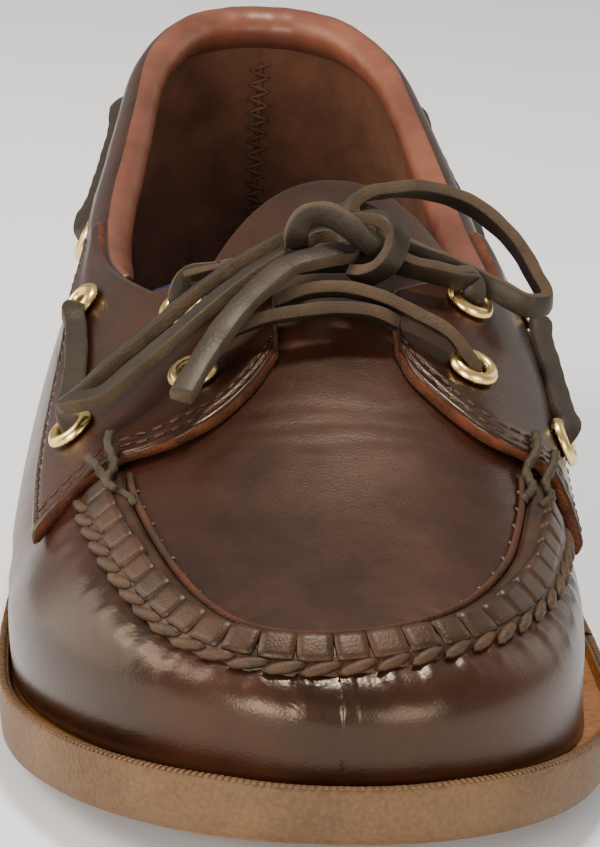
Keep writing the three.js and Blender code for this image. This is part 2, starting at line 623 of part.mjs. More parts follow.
const byName = Object.fromEntries(EYELETS.map((eyelet) => [eyelet.name, eyelet]));
const SIDE_RUNS = [
  { name: "side_lace_front_lateral", front: "side_1_lateral", rear: "side_2_lateral", side: -1 },
  { name: "side_lace_rear_lateral", front: "side_3_lateral", rear: "side_4_lateral", side: -1 },
  { name: "side_lace_front_medial", front: "side_1_medial", rear: "side_2_medial", side: 1 },
  { name: "side_lace_rear_medial", front: "side_3_medial", rear: "side_4_medial", side: 1 },
];

// Two bars cross over the throat: each rises from a lower front eyelet and dips towards the other flap
const UP = new THREE.Vector3(0, -0.3, 1);

function bar(rows) {
  const points = rows.map((p) => new THREE.Vector3(p.x, HEEL_Y - p.s, p.z));
  return strip(points, rows.map(() => UP.clone()), 16);
}

const BAR_LOWER = [
  { x: -21.9, s: 203.4, z: 65.4 }, { x: -18.8, s: 201.4, z: 67.3 }, { x: -12.5, s: 198.2, z: 70.1 },
  { x: -3.4, s: 196.6, z: 71.9 }, { x: 4, s: 195.6, z: 72.4 }, { x: 9.6, s: 195.6, z: 71.9 }, { x: 11.4, s: 195.6, z: 71.4 },
];
const BAR_UPPER = [
  { x: 28.2, s: 203, z: 67.4 }, { x: 24.6, s: 201, z: 69.2 }, { x: 18.4, s: 197.4, z: 71.9 }, { x: 11.4, s: 193.4, z: 74.2 },
  { x: 4.2, s: 191, z: 75 }, { x: -1.3, s: 190.6, z: 74.3 }, { x: -4.2, s: 190, z: 73.4 },
];

// Bow: each half leaves its upper front eyelet, meets the other at the knot, loops out and back and ends
const CORD = { diameter: 3.4, sides: 8, steps: 48 };
const BOW = {
  lace_bow_lateral: [
    { x: -23.8, s: 179.4, z: 72.6 }, { x: -17, s: 178.8, z: 74.3 }, { x: -7, s: 177, z: 75.7 }, { x: 3, s: 178, z: 76.8 },
    { x: 9.5, s: 178.6, z: 77.6 }, { x: 13.6, s: 177.5, z: 80.5 }, { x: 12.4, s: 173, z: 84.2 }, { x: 8, s: 170.6, z: 85.4 },
    { x: 3.8, s: 170.6, z: 84.3 }, { x: -2.3, s: 174.3, z: 81.5 }, { x: -9, s: 178.2, z: 79.1 }, { x: -15.6, s: 182.4, z: 76 },
    { x: -23, s: 187.2, z: 71.6 }, { x: -30.3, s: 193.3, z: 66.4 }, { x: -37.5, s: 198.5, z: 61.6 }, { x: -43.2, s: 202.6, z: 57.2 },
    { x: -45.4, s: 205.4, z: 56.3 }, { x: -43, s: 207.6, z: 57.3 }, { x: -39.4, s: 208.4, z: 58.6 },
    { x: -34.2, s: 207, z: 62.4 }, { x: -25.2, s: 201, z: 69 }, { x: -15, s: 190.5, z: 75 },
    { x: -4.5, s: 180.4, z: 79.3 }, { x: 1.3, s: 176, z: 81.4 }, { x: 5.6, s: 177.6, z: 81.6 }, { x: 6.6, s: 182, z: 80.2 },
    { x: 2.4, s: 186, z: 80 }, { x: -4.9, s: 190, z: 79 }, { x: -10.6, s: 195.8, z: 76.2 }, { x: -15.8, s: 203, z: 72.8 },
    { x: -20.9, s: 210, z: 67.4 }, { x: -25.6, s: 218.4, z: 61.8 },
  ],
  lace_bow_medial: [
    { x: 29.4, s: 180, z: 74.6 }, { x: 26.6, s: 182.4, z: 75.6 }, { x: 22.6, s: 183.6, z: 76.8 }, { x: 18.8, s: 183.8, z: 78.2 },
    { x: 17.2, s: 181, z: 82 }, { x: 16.8, s: 175.6, z: 85.2 }, { x: 18.6, s: 169, z: 87.6 }, { x: 24, s: 162.5, z: 88.2 },
    { x: 33.3, s: 159.6, z: 85.2 }, { x: 40.5, s: 164.5, z: 79 }, { x: 44.4, s: 172, z: 72.6 }, { x: 45, s: 177.6, z: 69.6 },
    { x: 42, s: 179.6, z: 70.2 }, { x: 35.2, s: 177.6, z: 73.8 }, { x: 26, s: 176, z: 78.4 }, { x: 21, s: 175, z: 80.4 },
    { x: 18.6, s: 171.6, z: 82 },
  ],
};

function cordGeometry(points) {
  const path = new THREE.CatmullRomCurve3(points.map((p) => new THREE.Vector3(p.x, HEEL_Y - p.s, p.z)));
  const section = new THREE.Shape(Array.from({ length: CORD.sides }, (_, k) => {
    const angle = 2 * Math.PI * k / CORD.sides;
    return new THREE.Vector2(CORD.diameter / 2 * Math.cos(angle), CORD.diameter / 2 * Math.sin(angle));
  }));
  const tube = new THREE.ExtrudeGeometry(section, { steps: CORD.steps, bevelEnabled: false, extrudePath: path });
  tube.deleteAttribute("uv");
  tube.deleteAttribute("normal");
  return mergeVertices(tube, 1e-4);
}

// Materials and the finished group
function material(color, roughness, metalness) {
  return new THREE.MeshStandardMaterial({ color, roughness, metalness });
}

const shoe = new THREE.Group();

function add(name, geometry, paint) {
  const mesh = new THREE.Mesh(geometry, paint);
  mesh.name = name;
  shoe.add(mesh);
}

add("outsole", outsole, material(0xa07f58, 0.75, 0));
add("insole", insole, material(0x2f5a8c, 0.8, 0));
add("upper", punched(upperShell, 0, false), material(0x4a2c22, 0.45, 0));
add("saddle_lateral", punched(flapSolid(FLAPS.lateral), -1, true), material(0x4d2d23, 0.45, 0));
add("saddle_medial", punched(flapSolid(FLAPS.medial), 1, true), material(0x4d2d23, 0.45, 0));
add("moc_seam", seam, material(0x54392c, 0.55, 0));
add("tongue", tongue, material(0x45271f, 0.5, 0));
add("back_strip", backStrip, material(0x5c3a2b, 0.5, 0));
for (const eyelet of EYELETS) {
  add(`eyelet_${eyelet.name}`, eyeletGeometry(eyelet), material(0xc9a24d, 0.25, 1));
}
for (const run of SIDE_RUNS) {
  add(run.name, sideRun(byName[run.front], byName[run.rear], run.side), material(0x3d3a33, 0.8, 0));
}
const crossing = toManifold(bar(BAR_LOWER)).add(toManifold(bar(BAR_UPPER)));
add("lace_bars", fromManifold(crossing), material(0x3d3a33, 0.8, 0));
for (const [name, points] of Object.entries(BOW)) {
  add(name, cordGeometry(points), material(0x3d3a33, 0.8, 0));
}

export default shoe;
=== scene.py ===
# Boat shoe for the right foot, empty and laced, standing on its sole
# Metres in Blender, +Z up, toe towards -Y, inner side of the foot towards +X
import math

import bmesh
import bpy
import numpy as np
from mathutils import Matrix, Vector


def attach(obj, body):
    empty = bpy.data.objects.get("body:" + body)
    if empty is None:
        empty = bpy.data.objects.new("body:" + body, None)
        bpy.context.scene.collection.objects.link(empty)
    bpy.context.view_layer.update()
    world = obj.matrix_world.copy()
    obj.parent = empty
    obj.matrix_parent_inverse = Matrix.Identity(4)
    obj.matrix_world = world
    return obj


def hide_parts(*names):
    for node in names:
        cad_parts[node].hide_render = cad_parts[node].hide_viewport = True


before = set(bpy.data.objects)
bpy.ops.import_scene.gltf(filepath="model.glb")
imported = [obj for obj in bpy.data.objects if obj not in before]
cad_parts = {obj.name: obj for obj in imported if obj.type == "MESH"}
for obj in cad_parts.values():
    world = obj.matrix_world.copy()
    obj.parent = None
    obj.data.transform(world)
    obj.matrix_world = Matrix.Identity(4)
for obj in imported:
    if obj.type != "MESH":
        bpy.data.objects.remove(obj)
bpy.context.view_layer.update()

# Camera
# The photograph was taken from in front of the toe, slightly from the outer side and above,
# with a long lens, and was held a little out of level.
CAMERA_PLACE = Vector((-0.0551, -0.6790, 0.2441))
CAMERA_TURN, CAMERA_DIP, CAMERA_ROLL = -4.77, 16.99, 2.80
SENSOR_WIDTH, LENS = 36, 216.84
a, e, r = (math.radians(v) for v in (CAMERA_TURN, CAMERA_DIP, CAMERA_ROLL))
forward = Vector((-math.sin(a) * math.cos(e), math.cos(a) * math.cos(e), -math.sin(e)))
level = Vector((math.cos(a), math.sin(a), 0))
upright = level.cross(forward)
right = math.cos(r) * level + math.sin(r) * upright
top = -math.sin(r) * level + math.cos(r) * upright
camera_data = bpy.data.cameras.new("camera")
camera_data.sensor_fit = "HORIZONTAL"
camera_data.sensor_width = SENSOR_WIDTH
camera_data.lens = LENS
camera = bpy.data.objects.new("camera", camera_data)
turn = Matrix((right, top, -forward)).transposed().to_4x4()
camera.matrix_world = Matrix.Translation(CAMERA_PLACE) @ turn
bpy.context.collection.objects.link(camera)
bpy.context.scene.camera = camera

# Rawhide lace: the bow
# A square-cut rawhide strip, dark and greasy on its faces and paler where the cut edge shows.
# Its two ends come up through the upper front eyelets, cross in a knot, loop out and end cut off.
LACE_WIDTH, LACE_THICK = 4.2, 2.4
HEEL_Y = 148
BOW_LATERAL = [
    (-23.8, 179.4, 72.6), (-17, 178.8, 74.3), (-7, 177, 75.7), (3, 178, 76.8), (9.5, 178.6, 77.6),
    (13.6, 177.5, 80.5), (12.4, 173, 84.2), (8, 170.6, 85.4), (3.8, 170.6, 84.3), (-2.3, 174.3, 81.5),
    (-9, 178.2, 79.1), (-15.6, 182.4, 76), (-23, 187.2, 71.6), (-30.3, 193.3, 66.4), (-37.5, 198.5, 61.6),
    (-43.2, 202.6, 57.2), (-45.4, 205.4, 56.3), (-43, 207.6, 57.3), (-39.4, 208.4, 58.6), (-34.2, 207, 62.4),
    (-25.2, 201, 69), (-15, 190.5, 75), (-4.5, 180.4, 79.3), (1.3, 176, 81.4), (5.6, 177.6, 81.6),
    (6.6, 182, 80.2), (2.4, 186, 80), (-4.9, 190, 79), (-10.6, 195.8, 76.2), (-15.8, 203, 72.8),
    (-20.9, 210, 67.4), (-25.6, 218.4, 61.8),
]
BOW_MEDIAL = [
    (29.4, 180, 74.6), (26.6, 182.4, 75.4), (22.6, 183.6, 76.6), (17.5, 183.4, 77.6), (12.4, 182, 79.4),
    (8.4, 178.6, 82.8), (6.4, 176, 86.4), (9, 173.4, 88.4), (13.6, 170.6, 88.8), (20.9, 164, 87.7),
    (31.9, 159.8, 83.5), (38.5, 164.5, 78.9), (42.8, 172, 73.1), (44.2, 177.6, 69.8), (41, 179.6, 69.7),
    (34.8, 177.6, 72.1), (25.9, 176, 75.8), (20.2, 175.4, 77.8), (16, 173, 79),
]


def add(name, data):
    piece = bpy.data.objects.new(name, data)
    bpy.context.collection.objects.link(piece)
    return piece


def along(table, column, s):
    x, v = table[:, 0], table[:, column]
    s = np.clip(np.asarray(s, float), x[0], x[-1])
    h = np.diff(x)
    slope = np.diff(v) / h
    inner = (slope[:-1] * h[1:] + slope[1:] * h[:-1]) / (h[:-1] + h[1:])
    m = np.concatenate([slope[:1], inner, slope[-1:]])
    i = np.clip(np.searchsorted(x, s, side="right") - 1, 0, len(x) - 2)
    t = (s - x[i]) / h[i]
    return (v[i] * (2 * t**3 - 3 * t**2 + 1) + h[i] * m[i] * (t**3 - 2 * t**2 + t)
            + v[i + 1] * (3 * t**2 - 2 * t**3) + h[i] * m[i + 1] * (t**3 - t**2))


def length_along(points):
    return np.concatenate([[0], np.cumsum(np.linalg.norm(np.diff(points, axis=0), axis=1))])


def smooth_path(points, step):
    p = np.asarray(points, float)
    length = length_along(p)
    table = np.column_stack([length, p])
    fine = np.linspace(0, length[-1], max(int(length[-1] / step * 3), 8))
    q = np.column_stack([along(table, k + 1, fine) for k in range(p.shape[1])])
    run = length_along(q[:, :3])
    even = np.linspace(0, run[-1], max(int(round(run[-1] / step)) + 1, 4))
    return np.column_stack([np.interp(even, run, q[:, k]) for k in range(p.shape[1])])


def in_frame(points):
    p = np.array(points, float)
    p[:, 1] = HEEL_Y - p[:, 1]
    return p


def unit(v):
    return v / np.maximum(np.linalg.norm(v, axis=-1, keepdims=True), 1e-9)


def make_piece(name, points, faces, finishes, slots=None, creased=False):
    mesh = bpy.data.meshes.new(name)
    mesh.from_pydata((np.asarray(points) * 0.001).tolist(), [], faces)
    if slots is not None:
        mesh.polygons.foreach_set("material_index", np.asarray(slots, dtype=np.int32))
    for finish in finishes:
        mesh.materials.append(finish)
    piece = add(name, mesh)
    tidy = bmesh.new()
    tidy.from_mesh(mesh)
    bmesh.ops.remove_doubles(tidy, verts=tidy.verts, dist=2e-6)
    bmesh.ops.dissolve_degenerate(tidy, edges=tidy.edges, dist=1e-7)
    bmesh.ops.delete(tidy, geom=[v for v in tidy.verts if not v.link_faces], context="VERTS")
    bmesh.ops.recalc_face_normals(tidy, faces=tidy.faces)
    for face in tidy.faces:
        face.smooth = True
    if creased:
        for edge in tidy.edges:
            edge.smooth = len(edge.link_faces) != 2 or edge.calc_face_angle(0) < 0.7
    tidy.to_mesh(mesh)
    tidy.free()
    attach(piece, "root")
    return piece


def ring_faces(count, around, closed_ends):
    pairs = [(i, (i + 1) % around) for i in range(around)]
    faces = [(k + i, k + j, k + around + j, k + around + i)
             for k in range(0, (count - 1) * around, around) for i, j in pairs]
    if closed_ends:
        faces.append(tuple(range(around - 1, -1, -1)))
        faces.append(tuple((count - 1) * around + i for i in range(around)))
    return faces


def colour(red, green, blue):
    def linear(v):
        v = v / 255
        return v / 12.92 if v <= 0.04045 else ((v + 0.055) / 1.055) ** 2.4
    return (linear(red), linear(green), linear(blue), 1)


def node(tree, kind, settings=None, **inputs):
    made = tree.nodes.new(kind)
    for key, value in (settings or {}).items():
        setattr(made, key, value)
    for key, value in inputs.items():
        socket = made.inputs[int(key[1:]) if key[1:].isdigit() else key.replace("_", " ")]
        if isinstance(value, bpy.types.NodeSocket):
            tree.links.new(value, socket)
        else:
            socket.default_value = value
    return made


def math_node(tree, operation, *values):
    inputs = {f"i{k}": value for k, value in enumerate(values)}
    return node(tree, "ShaderNodeMath", {"operation": operation}, **inputs).outputs[0]


def blank_finish(name):
    finish = bpy.data.materials.new(name)
    finish.use_nodes = True
    tree = finish.node_tree
    tree.nodes.clear()
    return finish, tree, node(tree, "ShaderNodeTexCoord").outputs["Object"]


def noise(tree, place, scale, detail, roughness=0.5):
    made = node(tree, "ShaderNodeTexNoise", Vector=place, Scale=scale, Detail=detail, Roughness=roughness)
    return made.outputs[0]


def spread(tree, value, *limits, first=1):
    inputs = {f"i{k + first}": limit for k, limit in enumerate(limits)}
    return node(tree, "ShaderNodeMapRange", i0=value, **inputs).outputs[0]


def tint(tree, factor, deep, pale):
    return node(tree, "ShaderNodeMix", {"data_type": "RGBA"}, Factor=factor, i6=deep, i7=pale).outputs[2]


def surface(tree, **inputs):
    shader = node(tree, "ShaderNodeBsdfPrincipled", **inputs)
    node(tree, "ShaderNodeOutputMaterial", Surface=shader.outputs[0])


# One shared effect: hide grain as a height, and the slow unevenness of its dye
hide_grain = bpy.data.node_groups.new("hide_grain", "ShaderNodeTree")
hide_grain.interface.new_socket("Vector", in_out="INPUT", socket_type="NodeSocketVector")
for name, value in (("Pores", 900.0), ("Blotches", 30.0)):
    hide_grain.interface.new_socket(name, in_out="INPUT", socket_type="NodeSocketFloat").default_value = value
for name in ("Height", "Dye"):
    hide_grain.interface.new_socket(name, in_out="OUTPUT", socket_type="NodeSocketFloat")
given = node(hide_grain, "NodeGroupInput").outputs
cells = node(hide_grain, "ShaderNodeTexVoronoi", {"feature": "DISTANCE_TO_EDGE"},
             Vector=given["Vector"], Scale=given["Pores"])
folds = noise(hide_grain, given["Vector"], 260.0, 4.0, 0.6)
joined = math_node(hide_grain, "MULTIPLY_ADD", cells.outputs["Distance"], 0.7, folds)
blotch = noise(hide_grain, given["Vector"], given["Blotches"], 5.0, 0.62)
node(hide_grain, "NodeGroupOutput", Height=joined, Dye=spread(hide_grain, blotch, 0.32, 0.68))


def hide(name, deep, pale, roughness, pores, blotches, bump, coat=0.0, sheen=0.0, specular=0.5):
    finish, tree, place = blank_finish(name)
    grain = node(tree, "ShaderNodeGroup", {"node_tree": hide_grain}, Vector=place, Pores=pores, Blotches=blotches)
    dye = grain.outputs["Dye"]
    gloss = spread(tree, dye, roughness - 0.06, roughness + 0.08, first=3)
    relief = node(tree, "ShaderNodeBump", Strength=bump, Distance=0.0004, Height=grain.outputs["Height"])
    surface(tree, Base_Color=tint(tree, dye, colour(*deep), colour(*pale)), Roughness=gloss,
            Normal=relief.outputs[0], Coat_Weight=coat, Coat_Roughness=0.3, Sheen_Weight=sheen,
            Specular_IOR_Level=specular, Specular_Tint=(1, 0.8, 0.6, 1))
    return finish


lace_face = hide("lace_face", (15, 11, 8), (33, 26, 19), 0.55, 700.0, 60.0, 0.3, coat=0.06)
lace_edge = hide("lace_edge", (44, 33, 24), (76, 60, 44), 0.9, 1500.0, 120.0, 0.7, sheen=0.05)


def lace(name, path, first_up, ends_narrow=(1, 1)):
    p = in_frame(path[:, :3])
    t = unit(np.gradient(p, axis=0))
    up, last = np.zeros_like(p), np.array(first_up, float)
    for k in range(len(p)):
        last = up[k] = unit(last - t[k] * np.dot(last, t[k]))
    across = np.cross(t, up)
    count = np.arange(len(p))
    width = np.full(len(p), LACE_WIDTH / 2)
    for from_end, share in zip((count, count[::-1]), ends_narrow):
        width *= share + (1 - share) * np.clip(from_end / 5, 0, 1)
    wobble = 1 + 0.05 * np.sin(count * 0.9) * np.sin(count * 0.37 + 1)
    w, h, c = 1.0, LACE_THICK / LACE_WIDTH, 0.16
    section = [(-w, -h + c), (-w + 0.3 * c, -h + 0.3 * c), (-w + c, -h), (0, -h * 1.03), (w - c, -h),
               (w - 0.3 * c, -h + 0.3 * c), (w, -h + c)]
    section += [(u, -v) for u, v in section[::-1]]
    rings = [p + (across * u + up * v) * (width * wobble)[:, None] for u, v in section]
    points = np.stack(rings, axis=1).reshape(-1, 3)
    faces = ring_faces(len(p), len(section), True)
    slots = [1, 0, 0, 0, 0, 1, 1] * 2 * (len(p) - 1) + [1, 1]
    piece = make_piece(name, points, faces, [lace_face, lace_edge], slots)
    return piece, p * 0.001


for word, route in (("lateral", BOW_LATERAL), ("medial", BOW_MEDIAL)):
    piece, centre = lace("bow_" + word, smooth_path(route, 1.3), (0, -1, -0.45))
    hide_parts("lace_bow_" + word)
    run = float(length_along(centre)[-1])

# Foot form
# The leather pieces are pulled over a last, so their places are read from its cross-sections:
# half widths, crown and the height of the sole's edge, at distances forward from the heel.
LAST_HEEL, LAST_TOE = 3, 291.5
SECTIONS = np.array([
    # s, lateral, medial, ridge, crown, feather, rise, roundness outside and inside
    (3, 33, 33, 0, 128, 24, 12, 2.0, 2.0), (40, 34, 34.5, 0, 124, 23.5, 12, 2.0, 2.0),
    (80, 40, 40, 1, 108, 20, 12, 2.0, 2.0), (115, 47, 44, 2.5, 92, 15.5, 14, 2.0, 2.1),
    (150, 51.5, 46.5, 4, 82, 12.5, 15, 1.9, 2.3), (180, 53.8, 47, 4.5, 71, 11.2, 14, 1.8, 2.5),
    (210, 54.6, 46.5, 4, 60, 11.2, 12, 1.9, 2.6), (240, 53, 46.3, 2.5, 49, 12.8, 10, 2.3, 2.7),
    (265, 49, 46, 1, 42, 15.3, 9, 2.6, 2.7), (291.5, 44, 44, -0.5, 36, 19, 8, 2.7, 2.7),
], float)
TOP_LINE = np.array([
    (3, 92.5), (12, 91.5), (25, 88.5), (45, 84), (75, 76.5), (105, 69.5), (135, 65.5), (168, 65.5)], float)
CORNER, THROAT_REAR, THROAT_FRONT = 168, 181, 198
THROAT_X = {-1: -6.8, 1: 14.2}
TOE_ROUND = {-1: (66, 2.2), 1: (60, 2.3)}  # length and power of the plan's rounding, outside and inside
HEEL_ROUND = (42, 2.1)
CROWN_ROUND = (16, 2.6)
LEAN_FROM, LEAN_RISE, LEAN_BACK, LEAN_LENGTH = 34, 58, 6, 90


def rounding(distance, radius, power):
    q = np.clip(1 - np.maximum(distance, 0) / radius, 0, 1)
    return np.maximum(1 - q**power, 0) ** (1 / power)


def middle(s):
    q = np.clip((s - 150) / 140, 0, 1)
    return -q * q * (3 - 2 * q)


def closing(s, side, inset):
    return rounding(LAST_TOE - inset - s, *TOE_ROUND[side]) * rounding(s - LAST_HEEL - inset, *HEEL_ROUND)


def edge_x(s, side, inset=0):
    return middle(s) + side * (along(SECTIONS, 1 if side < 0 else 2, s) - inset) * closing(s, side, inset)


def ridge_x(s, inset=0):
    return middle(s) + along(SECTIONS, 3, s) * closing(s, 1, inset)


def half_width(s, side, inset=0):
    return edge_x(s, side, inset) - ridge_x(s, inset)


def share_across(x, s, side, inset=0):
    half = half_width(s, side, inset)
    return np.clip((x - ridge_x(s, inset)) / np.where(np.abs(half) < 1e-6, 1e-6, half), 0, 1)


def feather_z(s):
    return along(SECTIONS, 5, s)


def widest_z(s):
    return feather_z(s) + along(SECTIONS, 6, s)


def crown_z(s, inset=0):
    height = along(SECTIONS, 4, s) - inset - widest_z(s)
    return widest_z(s) + height * rounding(LAST_TOE - inset - s, *CROWN_ROUND)


def squareness(s, side):
    return along(SECTIONS, 7 if side < 0 else 8, s)


def place(x, s, z):
    k = np.clip((z - LEAN_FROM) / LEAN_RISE, 0, 2)
    q = np.clip(1 - (s - LAST_HEEL) / LEAN_LENGTH, 0, 1)
    return np.stack(np.broadcast_arrays(x, HEEL_Y - s - LEAN_BACK * k**1.5 * q**1.3, z), axis=-1)


def layer_s(s, inset):
    return LAST_HEEL + inset + (s - LAST_HEEL) / (LAST_TOE - LAST_HEEL) * (LAST_TOE - LAST_HEEL - 2 * inset)


def on_last(s, side, angle, inset=0.0):
    at = layer_s(s, inset)
    n = squareness(at, side)
    x = ridge_x(at, inset) + half_width(at, side, inset) * np.maximum(np.cos(angle), 0) ** (2 / n)
    rise = (crown_z(at, inset) - widest_z(at)) * np.maximum(np.sin(angle), 0) ** (2 / n)
    return place(x, at, widest_z(at) + rise)


def below_widest(s, side, share, inset=0.0):
    at = layer_s(s, inset)
    tuck = (1.2 if side < 0 else -0.8) * closing(at, side, inset)
    x = edge_x(at, side, inset) - side * tuck * (1 - share) ** 2
    return place(x, at, feather_z(at) + share * (widest_z(at) - feather_z(at)))


def angle_at_z(s, side, z):
    q = np.clip((z - widest_z(s)) / np.maximum(crown_z(s) - widest_z(s), 1e-6), 0, 1)
    return np.arcsin(q ** (squareness(s, side) / 2))


def angle_at_x(s, side, x):
    return np.arccos(share_across(x, s, side) ** (squareness(s, side) / 2))


def opening_angle(s, side):
    s = np.asarray(s, float)
    rear = angle_at_z(s, side, along(TOP_LINE, 1, s))
    corner_angle = angle_at_z(CORNER, side, along(TOP_LINE, 1, CORNER))
    start = ridge_x(CORNER) + half_width(CORNER, side) * np.cos(corner_angle) ** (2 / squareness(CORNER, side))
    t = np.clip((s - CORNER) / (THROAT_REAR - CORNER), 0, 1)
    turn_in = angle_at_x(s, side, start + (THROAT_X[side] - start) * t**0.8)
    front = angle_at_x(s, side, THROAT_X[side] * np.sqrt(np.clip((LAST_TOE - s) / 60, 0, 1)))
    return np.where(s <= CORNER, rear, np.where(s <= THROAT_REAR, turn_in, front))


def on_plan(x, s, inset=0.0):
    x, s = np.broadcast_arrays(np.asarray(x, float), np.asarray(s, float))
    out = np.zeros(x.shape + (3,))
    for side in (-1, 1):
        pick = (x < ridge_x(s, inset)) if side < 0 else (x >= ridge_x(s, inset))
        xs, ss = x[pick], s[pick]
        n = squareness(ss, side)
        rise = (crown_z(ss, inset) - widest_z(ss)) * (1 - share_across(xs, ss, side, inset) ** n) ** (1 / n)
        out[pick] = place(xs, ss, widest_z(ss) + rise)
    return out


def grid_normals(p, outward):
    n = unit(np.cross(np.gradient(p, axis=0), np.gradient(p, axis=1)))
    for k in (0, -1):
        for row in (n[k], n[:, k]):
            weak = np.linalg.norm(row, axis=-1) < 0.5
            row[weak] = outward
    return n


def two_skins(name, outer, inner, finishes, keep=None, edge_slot=0):
    columns, rows = outer.shape[:2]
    points = np.concatenate([outer.reshape(-1, 3), inner.reshape(-1, 3)])
    keep = np.ones((columns - 1, rows - 1), bool) if keep is None else keep
    far = columns * rows
    faces, slots = [], []
    padded = np.pad(keep, 1)
    for i, j in zip(*np.nonzero(keep)):
        a, b, c, d = i * rows + j, (i + 1) * rows + j, (i + 1) * rows + j + 1, i * rows + j + 1
        faces += [(a, b, c, d), (far + d, far + c, far + b, far + a)]
        slots += [0, 1]
        for here, (m, n) in (((0, -1), (b, a)), ((0, 1), (d, c)), ((-1, 0), (a, d)), ((1, 0), (c, b))):
            if not padded[i + 1 + here[0], j + 1 + here[1]]:
                faces.append((m, n, far + n, far + m))
                slots.append(edge_slot)
    used = [k for k, f in enumerate(faces) if len(set(map(tuple, np.round(points[list(f)], 4)))) > 2]
    return make_piece(name, points, [faces[k] for k in used], finishes, [slots[k] for k in used])


def bump_at(distance, centre, width):
    return np.exp(-(((distance - centre) / width) ** 2))


# Upper
# Oiled brown leather pulled up round the foot: the wall of the vamp, the plug on top and the
# quarters back to the heel are one skin here, gathered into fine puckers below the moccasin seam.
SEAM = in_frame([
    (-38.6, 223), (-38, 230), (-36.4, 238), (-33.7, 249), (-30.4, 259), (-26, 268.4),
    (-20.5, 275.6), (-14, 279.8), (-7.7, 281.3), (-2, 281.3), (5.4, 280), (14, 276.4),
    (22.2, 270), (29, 261), (33.8, 251), (37.2, 238.5), (39, 229), (39.7, 222.5),
])
TAB_PITCH = 6.0
WALL = 2.0


def seam_line(step, across, lift):
    plan = smooth_path(SEAM, step)
    t = unit(np.gradient(plan, axis=0))
    x, y = plan[:, 0] + t[:, 1] * across, plan[:, 1] - t[:, 0] * across
    here = on_plan(x, HEEL_Y - y, -lift)
    beyond = across + 1
    ahead = on_plan(plan[:, 0] + t[:, 1] * beyond, HEEL_Y - (plan[:, 1] - t[:, 0] * beyond), -lift)
    face = unit(np.cross(unit(np.gradient(here, axis=0)), here - ahead))
    return here, face * np.sign(face[:, 2:3])


near_seam = seam_line(0.5, 0, 0)[0][::2]
WAIST = 150
stations = np.concatenate([
    LAST_HEEL + (WAIST - LAST_HEEL) * (1 - np.cos(np.pi * np.arange(82) / 164)),
    np.linspace(WAIST, THROAT_REAR, 31)[:-1],
    THROAT_REAR + (LAST_TOE - THROAT_REAR) * np.sin(np.pi * np.arange(121) / 240),
])
LOW, SIDE_ROWS, TOP_ROWS = 6, 48, 11
split_row = LOW + SIDE_ROWS


def wall_grid(inset):
    halves = []
    for side in (-1, 1):
        low = np.arange(LOW) / LOW
        split = opening_angle(stations, side)[:, None]
        up = split * np.arange(SIDE_ROWS + 1) / SIDE_ROWS
        over = split + (np.pi / 2 - split) * np.arange(1, TOP_ROWS + 1) / TOP_ROWS
        angles = np.concatenate([up, over], 1)
        foot = below_widest(np.broadcast_to(stations[:, None], (len(stations), LOW)), side, low[None, :], inset)
        body = on_last(np.broadcast_to(stations[:, None], angles.shape), side, angles, inset)
        halves.append(np.concatenate([foot, body], axis=1))
    return np.concatenate([halves[0], halves[1][:, -2::-1]], axis=1)


outer = wall_grid(0.0)
inner = wall_grid(WALL)
s_of = np.broadcast_to(stations[:, None], outer.shape[:2])
normals = grid_normals(outer, (0, 0, 1))
centre = np.array([0, HEEL_Y - WAIST, 20])
flip = np.sign(((outer - centre) * normals).sum(-1, keepdims=True))
normals = normals * np.where(flip == 0, 1, flip)
flat = outer.reshape(-1, 3)
gap = np.full(len(flat), 1e3)
place_along = np.zeros(len(flat))
for start in range(0, len(near_seam), 40):
    part = near_seam[start:start + 40]
    d = np.linalg.norm(flat[:, None, :] - part[None], axis=-1)
    k = d.argmin(1)
    best = d[np.arange(len(flat)), k]
    closer = best < gap
    gap[closer] = best[closer]
    place_along[closer] = start + k[closer]
gap = gap.reshape(s_of.shape)
place_along = place_along.reshape(s_of.shape)
nearest = near_seam[place_along.astype(int)]
on_wall = outer[..., 2] < on_plan(nearest[..., 0], HEEL_Y - nearest[..., 1])[..., 2]
beat = np.cos(2 * np.pi * place_along / TAB_PITCH)
half_beat = np.cos(4 * np.pi * place_along / TAB_PITCH + 1)
reach = 13 + 2.5 * np.sin(place_along * 0.23) * np.sin(place_along * 0.071)
pucker = np.clip((reach - gap) / 9, 0, 1) ** 1.3 * np.clip((gap - 2) / 2, 0, 1)
swell = 0.7 * bump_at(gap, 8, 5) * (s_of > 200)
height = np.where(on_wall, (0.28 * beat + 0.14 * half_beat) * pucker + swell,
                  0.16 * beat * np.clip((9 - gap) / 6, 0, 1))
for crease, depth, width, bend in ((213, 0.12, 1.4, 0.0016), (217.5, 0.14, 1.2, 0.0022), (222, 0.09, 1.1, 0.0015)):
    line = crease - bend * (outer[..., 0] - 2) ** 2 + 0.8 * np.sin(outer[..., 0] * 0.21 + crease)
    height -= depth * bump_at(s_of, line, width) * (~on_wall) * np.clip((34 - np.abs(outer[..., 0])) / 10, 0, 1)
for s0, z0, slope, depth, width, span in (
    (214, 31, 0.35, 0.5, 3.0, 16), (205, 27, 0.28, 0.35, 2.5, 14), (222, 28, 0.5, 0.3, 2.4, 12),
):
    line = z0 + slope * (s_of - s0)
    height -= depth * bump_at(outer[..., 2], line, width) * bump_at(s_of, s0, span) * on_wall
below_top = along(TOP_LINE, 1, s_of) - outer[..., 2]
quarters = (s_of < CORNER) & (below_top < 40)
height += np.where(quarters, 0.35 * np.clip((15 - below_top) / 1.5, 0, 1) - 0.3 * bump_at(below_top, 16, 0.9), 0)
height *= np.clip(1 - bump_at(s_of, LAST_HEEL, 1.2), 0, 1)
height[-1] = (height[-1] + height[-1, ::-1]) / 2
normals[-1] = unit(normals[-2] + normals[-2, ::-1])
